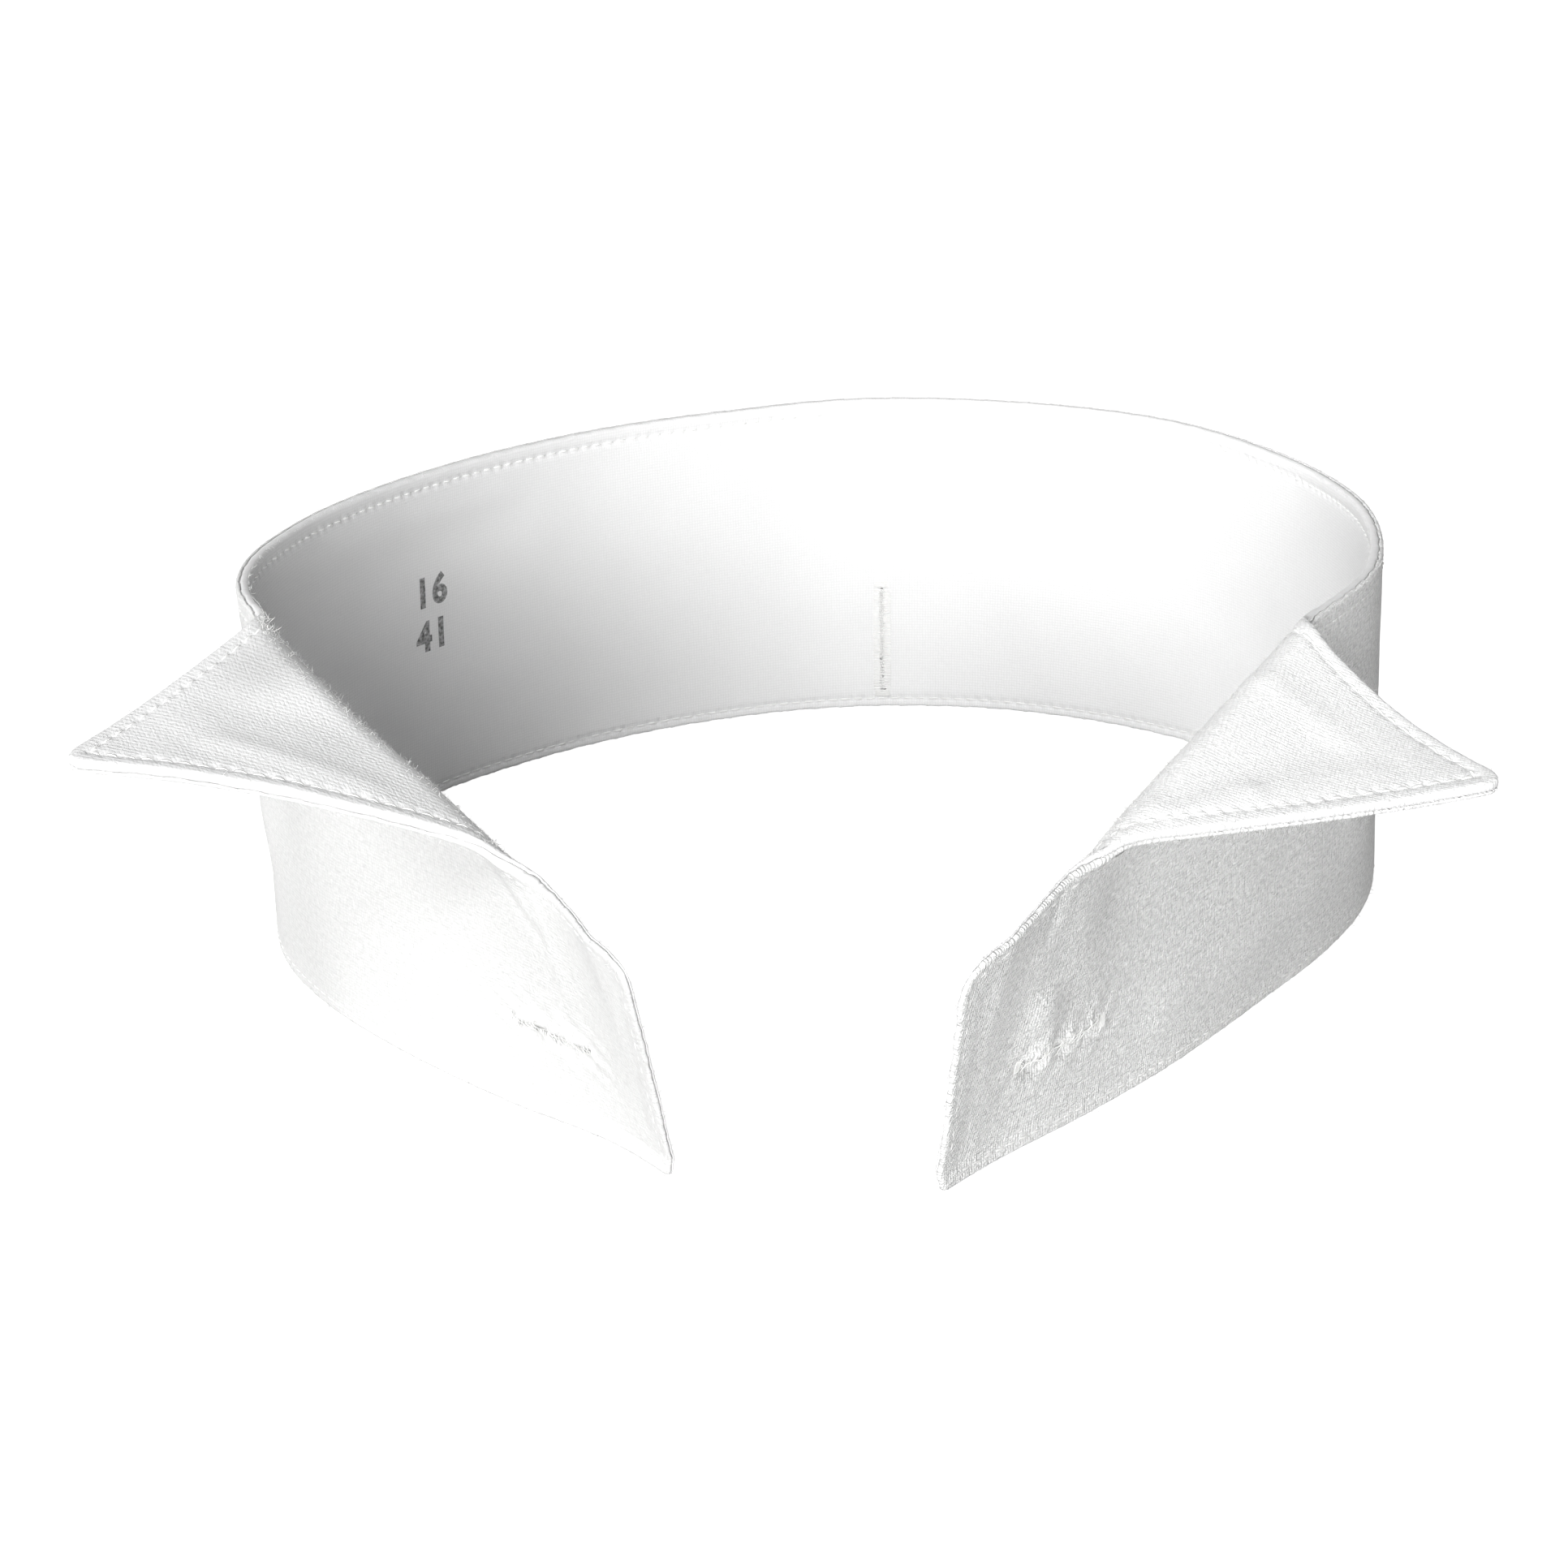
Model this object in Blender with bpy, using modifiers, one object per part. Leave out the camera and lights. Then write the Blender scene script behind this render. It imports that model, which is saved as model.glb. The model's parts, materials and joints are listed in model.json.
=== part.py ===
"""Detachable wing collar, standing on its lower edge as if round a neck.

Two plies of starched cotton are cut to one flat outline: a long band whose front corners
rise into points. The band is curled round the neck and each point is rolled over outward.
Every point of a ply is worked out from its place in the flat cut.
"""

from collections import namedtuple

import bmesh
import bpy
import numpy as np
from mathutils import Matrix, Vector

# Driving dimensions, in millimetres and degrees
MM = 0.001
BAND_HEIGHT = 50.0
HALF_LENGTH = 223.3      # lower edge, from the centre back to one front corner
PLY_WALL = 1.0
PLY_GAP = 0.3
FOOT_HEIGHT = 2.5        # the lowest strip stands upright, so the lower edge sits flat
ROLL_FADE = 9.0          # how far the fold's roll dies out along the slanted front edge
SLIT_WIDTH = 1.2
SLIT_DEPTH = 8.0

# The flat cut, as (along, up): along is measured forward from the front lower corner
TAB_CORNER = (8.1, 32.3)
POINT_TIP = (-47.6, 76.0)
TIP_REACH = 2.0          # how far from its tip the point's edges start to round off
HEEL_REACH = 5.0         # the same where the top edge turns up into the point
NOTCH_REACH = 7.0        # and where the point's front edge meets the slanted front edge
FRONT_SLIT = ((-25.4, 12.8), (-10.7, 12.8))
BACK_SLIT = ((-HALF_LENGTH, 3.0), (-HALF_LENGTH, 19.5))

# Sections of the standing band, from the centre back (share 0) to the front end (share 1):
# how fast it turns round the neck, how far it leans outward, how high its lower edge lifts
Section = namedtuple("Section", "share turn_deg_per_cm lean_deg lift_mm")
RIGHT_BAND = [
    Section(0.00, 7.1, 4.8, 0.0),
    Section(0.10, 8.1, 3.3, 0.0),
    Section(0.20, 8.7, 1.2, 0.0),
    Section(0.30, 9.9, -2.9, 0.0),
    Section(0.40, 10.7, -3.9, 0.0),
    Section(0.50, 9.5, -2.4, 0.0),
    Section(0.60, 5.4, 1.4, 0.7),
    Section(0.70, 1.1, 3.0, 1.3),
    Section(0.80, 1.4, 4.7, 1.7),
    Section(0.87, 1.5, 7.2, 2.2),
    Section(0.94, -1.1, 12.1, 3.0),
    Section(1.00, -5.0, 16.2, 3.5),
]
LEFT_BAND = [
    Section(0.00, 10.3, 4.8, 0.0),
    Section(0.10, 6.6, 1.2, 0.0),
    Section(0.20, 4.8, 0.3, 0.0),
    Section(0.30, 5.6, -1.6, 0.0),
    Section(0.40, 7.8, -2.6, 0.0),
    Section(0.50, 10.3, -1.6, 0.0),
    Section(0.60, 11.5, 1.3, 0.0),
    Section(0.70, 7.6, 2.5, 0.4),
    Section(0.80, 3.5, 3.4, 0.2),
    Section(0.87, 0.1, 6.2, 0.0),
    Section(0.94, -6.5, 12.5, 1.0),
    Section(1.00, -12.0, 17.2, 1.5),
]

# Each point's fold: its back and front ends in the flat cut, how far it is turned over,
# how much more at the front than at the back, half the width of the soft roll at each end,
# and how much the turned-out cloth goes on bending beyond the roll
Fold = namedtuple("Fold", "back front angle_deg twist_deg roll_back roll_front curl_deg_per_cm")
RIGHT_FOLD = Fold((-64.3, BAND_HEIGHT), (-17.9, 37.5), 113.0, -15.0, 2.4, 2.4, -11.0)
LEFT_FOLD = Fold((-69.8, BAND_HEIGHT), (-20.9, 34.9), 86.0, -23.0, 2.6, 2.6, -0.5)

# How finely the plies are divided
BAND_STEP = 6.2
FOLD_STEP = 4.0
CORNER_STEP = 1.0
BAND_STRIPS = 3
ROLL_STRIPS = 6
POINT_STRIPS = 3


def ease(value):
    """Go from 0 to 1 with no corner at either end."""
    value = np.clip(value, 0.0, 1.0)
    return value * value * (3.0 - 2.0 * value)


def smooth_column(rows, column, share):
    """Read one column of a section table at any share, as a curve through its rows."""
    x = np.array([row.share for row in rows])
    y = np.array([getattr(row, column) for row in rows])
    share = np.clip(share, x[0], x[-1])
    i = np.clip(np.searchsorted(x, share, side="right") - 1, 0, len(x) - 2)
    slope = np.gradient(y, x)
    slope[0] = 0.0       # level at the centre back, where the two halves meet
    width = x[i + 1] - x[i]
    t = (share - x[i]) / width
    start = y[i] * (1 + 2 * t) * (1 - t) ** 2 + slope[i] * width * t * (1 - t) ** 2
    end = y[i + 1] * t * t * (3 - 2 * t) - slope[i + 1] * width * t * t * (1 - t)
    return start + end


def unit(vectors):
    return vectors / np.linalg.norm(vectors, axis=-1, keepdims=True)


class CollarHalf:
    """One half of the collar's middle surface, from the centre back to a front end."""

    def __init__(self, side, rows, fold):
        self.side = side
        self.rows = rows
        self.fold = fold
        self.lay_out_lower_edge()
        self.back = np.array(fold.back)
        self.length = np.linalg.norm(np.subtract(fold.front, fold.back))
        self.along_fold = np.subtract(fold.front, fold.back) / self.length
        self.over_fold = np.array([-self.along_fold[1], self.along_fold[0]])
        self.find_fold_frame()

    def lay_out_lower_edge(self):
        """Follow the lower edge forward in plan, adding up the turn."""
        self.stations = np.linspace(0.0, HALF_LENGTH, int(HALF_LENGTH) + 1)
        shares = [row.share for row in self.rows]
        turns = [row.turn_deg_per_cm for row in self.rows]
        turn = np.radians(np.interp(self.stations / HALF_LENGTH, shares, turns)) / 10.0
        step = np.diff(self.stations)
        self.heading = np.concatenate([[0.0], np.cumsum((turn[1:] + turn[:-1]) / 2 * step)])
        middle = (self.heading[1:] + self.heading[:-1]) / 2
        self.plan_x = np.concatenate([[0.0], np.cumsum(np.cos(middle) * step)])
        self.plan_y = np.concatenate([[0.0], np.cumsum(-np.sin(middle) * step)])

    def band(self, flat):
        """Place points of the flat cut on the standing band."""
        flat = np.asarray(flat, dtype=float)
        station = flat[..., 0] + HALF_LENGTH
        height = flat[..., 1]
        beyond = np.maximum(station - HALF_LENGTH, 0.0)
        behind = np.minimum(station, 0.0)
        inside = np.clip(station, 0.0, HALF_LENGTH)
        heading = np.interp(inside, self.stations, self.heading)
        x = np.interp(inside, self.stations, self.plan_x) + beyond * np.cos(heading) + behind
        y = np.interp(inside, self.stations, self.plan_y) - beyond * np.sin(heading)
        share = inside / HALF_LENGTH
        lean = np.radians(smooth_column(self.rows, "lean_deg", share))
        lift = np.maximum(smooth_column(self.rows, "lift_mm", share), 0.0)
        leaning = np.maximum(height - FOOT_HEIGHT, 0.0)
        out = leaning * np.sin(lean)
        up = lift + np.minimum(height, FOOT_HEIGHT) + leaning * np.cos(lean)
        x = self.side * (x + out * np.sin(heading))
        return np.stack([x, y + out * np.cos(heading), up], axis=-1)

    def outward(self, flat, surface):
        """Normal of a surface, pointing away from the neck."""
        flat = np.asarray(flat, dtype=float)
        reach = 0.4
        forward = surface(flat + [reach, 0.0]) - surface(flat - [reach, 0.0])
        upward = surface(flat + [0.0, reach]) - surface(flat - [0.0, reach])
        return unit(-self.side * np.cross(forward, upward))

    def roll_width(self, t):
        share = np.clip(t / self.length, -0.2, 1.2)
        return self.fold.roll_back + (self.fold.roll_front - self.fold.roll_back) * share

    def roll_base(self, t):
        """Where the roll starts, in the flat cut, at distance t along the fold."""
        return self.back + t[:, None] * self.along_fold - self.roll_width(t)[:, None] * self.over_fold

    def find_fold_frame(self):
        """The straight frame that the turned-out point settles into beyond its roll."""
        t = np.linspace(0.0, self.length, 9)
        base = self.roll_base(t)
        placed = self.band(base)
        axis = unit(placed[-1] - placed[0])
        normal = self.outward(base, self.band).mean(axis=0)
        self.fold_out = unit(normal - normal.dot(axis) * axis)
        rise = np.cross(self.fold_out, axis)
        self.fold_up = rise * np.sign(rise[2])

    def place(self, flat):
        """Place points of the flat cut on the finished collar, rolling the point over."""
        flat = np.atleast_2d(np.asarray(flat, dtype=float))
        t = (flat - self.back) @ self.along_fold
        rise = (flat - self.back) @ self.over_fold + self.roll_width(t)
        placed = self.band(flat)
        turned = (rise > 0) & (t > -14.0) & (t < self.length + ROLL_FADE)
        if turned.any():
            flattened = ease((t[turned] - self.length) / ROLL_FADE)[:, None]
            rolled = self.roll_over(t[turned], rise[turned])
            placed[turned] = rolled * (1.0 - flattened) + placed[turned] * flattened
        return placed

    def roll_over(self, t, rise):
        """Walk up the cloth from the roll's base, bending as it goes."""
        base = self.roll_base(t)
        out = self.outward(base, self.band)
        axis = unit(self.band(base + 0.5 * self.along_fold) - self.band(base - 0.5 * self.along_fold))
        up = np.cross(out, axis)
        up = up * np.sign(up[:, 2:3])
        steps = 24
        walked = rise[:, None] * ((np.arange(steps) + 0.5) / steps)
        roll = 2.0 * self.roll_width(t)[:, None]
        share = np.clip(walked / roll, 0.0, 1.0)
        lengthwise = np.clip(t / self.length, -0.3, 1.3) - 0.5
        angle = np.radians(self.fold.angle_deg + self.fold.twist_deg * lengthwise)
        angle = angle * (1.0 - ease((t - self.length) / ROLL_FADE))
        curl = np.radians(self.fold.curl_deg_per_cm) / 10.0
        bend = angle[:, None] * share + curl * np.maximum(walked - roll, 0.0)
        blend = ease(share)[..., None]
        along_up = unit(up[:, None] * (1 - blend) + self.fold_up * blend)
        along_out = out[:, None] * (1 - blend) + self.fold_out * blend
        along_out = along_out - (along_out * along_up).sum(-1, keepdims=True) * along_up
        along_out = unit(along_out)
        heading = np.cos(bend)[..., None] * along_up + np.sin(bend)[..., None] * along_out
        return self.band(base) + heading.sum(axis=1) * (rise / steps)[:, None]


def steps_between(start, end, step):
    """Points from start up to but not including end, about a step apart."""
    start, end = np.array(start), np.array(end)
    count = max(1, round(np.linalg.norm(end - start) / step))
    return [start + (end - start) * i / count for i in range(count)]


def rounded_corner(before, corner, after, reach, step):
    """A soft curve round a corner of the outline, starting and ending a reach away from it."""
    corner = np.array(corner)
    start = corner + unit(before - corner) * reach
    end = corner + unit(after - corner) * reach
    count = round(2 * reach / step)
    shares = np.linspace(0.0, 1.0, count + 1)[:, None]
    return list((1 - shares) ** 2 * start + 2 * shares * (1 - shares) * corner + shares**2 * end)


def upper_outline(fold):
    """The upper outline of the flat cut, from the centre back to the tab's corner."""
    back_top = np.array((-HALF_LENGTH, BAND_HEIGHT))
    tip = np.array(POINT_TIP)
    tab = np.array(TAB_CORNER)
    heel = rounded_corner(back_top, fold.back, tip, HEEL_REACH, CORNER_STEP)
    point = rounded_corner(fold.back, tip, fold.front, TIP_REACH, CORNER_STEP)
    notch = rounded_corner(tip, fold.front, tab, NOTCH_REACH, CORNER_STEP)
    outline = steps_between(back_top, heel[0], BAND_STEP) + heel[:-1]
    outline += steps_between(heel[-1], point[0], FOLD_STEP) + point[:-1]
    outline += steps_between(point[-1], notch[0], FOLD_STEP) + notch[:-1]
    return outline + steps_between(notch[-1], tab, FOLD_STEP) + [tab]


def outline_columns(fold):
    """Pairs of flat points, on the lower edge and on the upper outline, from back to front."""
    columns = []
    for top in upper_outline(fold):
        along = top[0]
        if along > fold.front[0]:
            along = fold.front[0] * (TAB_CORNER[0] - along) / (TAB_CORNER[0] - fold.front[0])
        columns.append((np.array([along, 0.0]), top))
    return columns


def column_shares(half, bottom, top):
    """Where the rows cross one column: foot, band, roll and turned-out point."""

    def crossing(widths):
        rises = []
        for flat in (bottom, top):
            t = (flat - half.back) @ half.along_fold
            rises.append((flat - half.back) @ half.over_fold - widths * half.roll_width(t))
        if rises[1] <= 0:
            return 1.0
        return max(foot, -rises[0] / (rises[1] - rises[0]))

    foot = FOOT_HEIGHT / top[1]
    base = crossing(-1.0)
    band = np.linspace(foot, base, BAND_STRIPS + 1)
    roll = [min(1.0, crossing(widths)) for widths in np.linspace(-1.0, 1.0, ROLL_STRIPS + 1)[1:]]
    point = np.linspace(roll[-1], 1.0, POINT_STRIPS + 1)[1:]
    return np.concatenate([[0.0], band, roll, point])


def half_grid(half, offset):
    """Placed points of one half, moved out by an offset, one list for each column."""
    columns = []
    for bottom, top in outline_columns(half.fold):
        shares = column_shares(half, bottom, top)
        flat = bottom + shares[:, None] * (top - bottom)
        columns.append(half.place(flat) + offset * half.outward(flat, half.place))
    return columns


def ply_surface(name, halves, offset):
    """An open mesh of a ply's middle, its faces turned away from the neck."""
    shape = bmesh.new()
    verts = {}

    def vert(point):
        key = tuple(np.round(point, 3) + 0.0)
        if key not in verts:
            verts[key] = shape.verts.new(Vector(point) * MM)
        return verts[key]

    for half in halves:
        grid = [[vert(point) for point in column] for column in half_grid(half, offset)]
        for column, after in zip(grid, grid[1:]):
            for row in range(len(column) - 1):
                corners = [column[row], column[row + 1], after[row + 1], after[row]]
                corners = list(dict.fromkeys(corners))
                if half.side < 0:
                    corners.reverse()
                if len(corners) > 2:
                    shape.faces.new(corners)
    mesh = bpy.data.meshes.new(name)
    shape.to_mesh(mesh)
    shape.free()
    mesh.shade_smooth()
    return mesh


def cotton(name, colour):
    material = bpy.data.materials.new(name)
    material.use_nodes = True
    shader = material.node_tree.nodes["Principled BSDF"]
    shader.inputs["Base Color"].default_value = (*colour, 1.0)
    shader.inputs["Roughness"].default_value = 0.85
    shader.inputs["Metallic"].default_value = 0.0
    return material


def make_ply(name, halves, layer, material, cutters, parent, parts):
    """One cotton ply on its own side of the collar's middle, with its slits cut."""
    mesh = ply_surface(name, halves, layer * (PLY_WALL + PLY_GAP) / 2)
    mesh.materials.append(material)
    ply = bpy.data.objects.new(name, mesh)
    parts.objects.link(ply)
    ply.parent = parent
    wall = ply.modifiers.new("Wall", "SOLIDIFY")
    wall.thickness = PLY_WALL * MM
    wall.offset = 0.0
    slits = ply.modifiers.new("Slits", "BOOLEAN")
    slits.operand_type = "COLLECTION"
    slits.collection = cutters
    slits.solver = "EXACT"
    return ply


def make_slit_cutter(name, half, ends, parent, cutters):
    """A thin box through both plies, lying along one buttonhole."""
    first, last = half.band(np.array(ends))
    along = unit(last - first)
    out = half.outward(np.mean(ends, axis=0), half.band)
    out = unit(out - out.dot(along) * along)
    across = np.cross(out, along)
    shape = bmesh.new()
    bmesh.ops.create_cube(shape, size=1.0)
    size = (np.linalg.norm(last - first), SLIT_WIDTH, SLIT_DEPTH)
    bmesh.ops.scale(shape, vec=Vector(size) * MM, verts=shape.verts)
    mesh = bpy.data.meshes.new(name)
    shape.to_mesh(mesh)
    shape.free()
    cutter = bpy.data.objects.new(name, mesh)
    turn = Matrix((along, across, out)).transposed().to_4x4()
    cutter.matrix_world = Matrix.Translation(Vector((first + last) / 2) * MM) @ turn
    cutter.parent = parent
    cutter.hide_render = True
    cutter.display_type = "WIRE"
    cutters.objects.link(cutter)
    return cutter


def centre_over_origin(parent, plies):
    """Move the collar so that its box is centred over the origin."""
    bpy.context.view_layer.update()
    depsgraph = bpy.context.evaluated_depsgraph_get()
    corners = [corner[:] for ply in plies for corner in ply.evaluated_get(depsgraph).bound_box]
    centre = (np.min(corners, axis=0) + np.max(corners, axis=0)) / 2
    parent.location = (-centre[0], -centre[1], 0.0)


def make_collection(name):
    collection = bpy.data.collections.new(name)
    bpy.context.scene.collection.children.link(collection)
    return collection


def main():
    for old in list(bpy.data.objects):
        bpy.data.objects.remove(old, do_unlink=True)
    parts = make_collection("detachable wing collar")
    cutters = make_collection("buttonhole cutters")
    stand = bpy.data.objects.new("collar_origin", None)
    parts.objects.link(stand)
    right = CollarHalf(1, RIGHT_BAND, RIGHT_FOLD)
    left = CollarHalf(-1, LEFT_BAND, LEFT_FOLD)
    make_slit_cutter("back slit", right, BACK_SLIT, stand, cutters)
    make_slit_cutter("right front slit", right, FRONT_SLIT, stand, cutters)
    make_slit_cutter("left front slit", left, FRONT_SLIT, stand, cutters)
    face = cotton("outer ply cotton", (0.90, 0.90, 0.89))
    lining = cotton("inner ply cotton", (0.86, 0.86, 0.86))
    plies = [
        make_ply("outer_ply", (right, left), 1, face, cutters, stand, parts),
        make_ply("inner_ply", (right, left), -1, lining, cutters, stand, parts),
    ]
    centre_over_origin(stand, plies)


main()
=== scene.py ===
# %% [markdown]
# # A detachable wing collar
# A detachable collar is worn over the neckband of a shirt and held by studs, so that it can be
# washed and starched by itself. This one is a long cotton band, two plies thick, whose front
# corners rise into points. The points are rolled over outward into the two small wings.
#
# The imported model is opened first, and every piece below is made where its solid stands.

import bpy
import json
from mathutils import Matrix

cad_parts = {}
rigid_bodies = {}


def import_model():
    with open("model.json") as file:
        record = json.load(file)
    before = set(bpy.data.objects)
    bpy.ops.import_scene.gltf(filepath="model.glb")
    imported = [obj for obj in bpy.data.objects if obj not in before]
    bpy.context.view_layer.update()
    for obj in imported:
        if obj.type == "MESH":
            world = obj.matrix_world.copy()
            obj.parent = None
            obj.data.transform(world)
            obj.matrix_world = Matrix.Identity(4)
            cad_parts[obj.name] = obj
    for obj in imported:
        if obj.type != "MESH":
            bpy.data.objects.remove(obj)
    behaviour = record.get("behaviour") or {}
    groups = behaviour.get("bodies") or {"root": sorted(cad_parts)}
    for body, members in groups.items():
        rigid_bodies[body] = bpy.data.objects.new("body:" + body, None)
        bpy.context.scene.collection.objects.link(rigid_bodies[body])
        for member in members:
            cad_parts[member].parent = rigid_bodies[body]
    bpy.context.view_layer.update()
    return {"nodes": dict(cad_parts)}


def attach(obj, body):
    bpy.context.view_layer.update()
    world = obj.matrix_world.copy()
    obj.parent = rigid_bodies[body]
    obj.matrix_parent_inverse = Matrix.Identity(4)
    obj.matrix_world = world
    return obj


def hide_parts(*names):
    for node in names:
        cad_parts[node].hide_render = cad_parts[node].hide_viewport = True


for old in list(bpy.data.objects):
    bpy.data.objects.remove(old, do_unlink=True)
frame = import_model()
print("packed nodes:", sorted(frame["nodes"]))

# %% Tools for the whole lesson
import json
from collections import namedtuple

import bmesh
import numpy as np
from mathutils import Matrix, Vector, geometry, kdtree

MM = 0.001


def unit(vectors):
    return vectors / np.linalg.norm(vectors, axis=-1, keepdims=True)


def ease(value):
    """Go from 0 to 1 with no corner at either end."""
    value = np.clip(value, 0.0, 1.0)
    return value * value * (3.0 - 2.0 * value)


# %% [markdown]
# ## How the flat cut stands up
# A collar is drawn and cut flat, so the whole lesson thinks in the flat cut: a place is so many
# millimetres round from the centre back, and so many up from the lower edge. One function bends
# that flat place round the neck and over the fold, in the same way as the solids were made.
# Stitches, creases and numbers can then be laid out on the flat like a tailor's marks.

# %% Sizes of the collar
BAND_HEIGHT = 50.0
HALF_LENGTH = 223.3      # lower edge, from the centre back to one front corner
FOOT_HEIGHT = 2.5        # the lowest strip stands upright
ROLL_FADE = 9.0          # how far the fold's roll dies out along the slanted front edge
CENTRE_BACK = np.array((12.461, 84.983, 0.0))    # foot of the centre back in the row frame

Section = namedtuple("Section", "share turn_deg_per_cm lean_deg lift_mm")
RIGHT_BAND = [
    Section(0.00, 7.1, 4.8, 0.0),
    Section(0.10, 8.1, 3.3, 0.0),
    Section(0.20, 8.7, 1.2, 0.0),
    Section(0.30, 9.9, -2.9, 0.0),
    Section(0.40, 10.7, -3.9, 0.0),
    Section(0.50, 9.5, -2.4, 0.0),
    Section(0.60, 5.4, 1.4, 0.7),
    Section(0.70, 1.1, 3.0, 1.3),
    Section(0.80, 1.4, 4.7, 1.7),
    Section(0.87, 1.5, 7.2, 2.2),
    Section(0.94, -1.1, 12.1, 3.0),
    Section(1.00, -5.0, 16.2, 3.5),
]
LEFT_BAND = [
    Section(0.00, 10.3, 4.8, 0.0),
    Section(0.10, 6.6, 1.2, 0.0),
    Section(0.20, 4.8, 0.3, 0.0),
    Section(0.30, 5.6, -1.6, 0.0),
    Section(0.40, 7.8, -2.6, 0.0),
    Section(0.50, 10.3, -1.6, 0.0),
    Section(0.60, 11.5, 1.3, 0.0),
    Section(0.70, 7.6, 2.5, 0.4),
    Section(0.80, 3.5, 3.4, 0.2),
    Section(0.87, 0.1, 6.2, 0.0),
    Section(0.94, -6.5, 12.5, 1.0),
    Section(1.00, -12.0, 17.2, 1.5),
]
Fold = namedtuple("Fold", "back front angle_deg twist_deg roll_back roll_front curl_deg_per_cm")
RIGHT_FOLD = Fold((-64.3, BAND_HEIGHT), (-17.9, 37.5), 113.0, -15.0, 2.4, 2.4, -11.0)
LEFT_FOLD = Fold((-69.8, BAND_HEIGHT), (-20.9, 34.9), 86.0, -23.0, 2.6, 2.6, -0.5)


def smooth_column(rows, column, share):
    """Read one column of a section table at any share, as a curve through its rows."""
    x = np.array([row.share for row in rows])
    y = np.array([getattr(row, column) for row in rows])
    share = np.clip(share, x[0], x[-1])
    i = np.clip(np.searchsorted(x, share, side="right") - 1, 0, len(x) - 2)
    slope = np.gradient(y, x)
    slope[0] = 0.0
    width = x[i + 1] - x[i]
    t = (share - x[i]) / width
    start = y[i] * (1 + 2 * t) * (1 - t) ** 2 + slope[i] * width * t * (1 - t) ** 2
    end = y[i + 1] * t * t * (3 - 2 * t) - slope[i + 1] * width * t * t * (1 - t)
    return start + end


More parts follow.
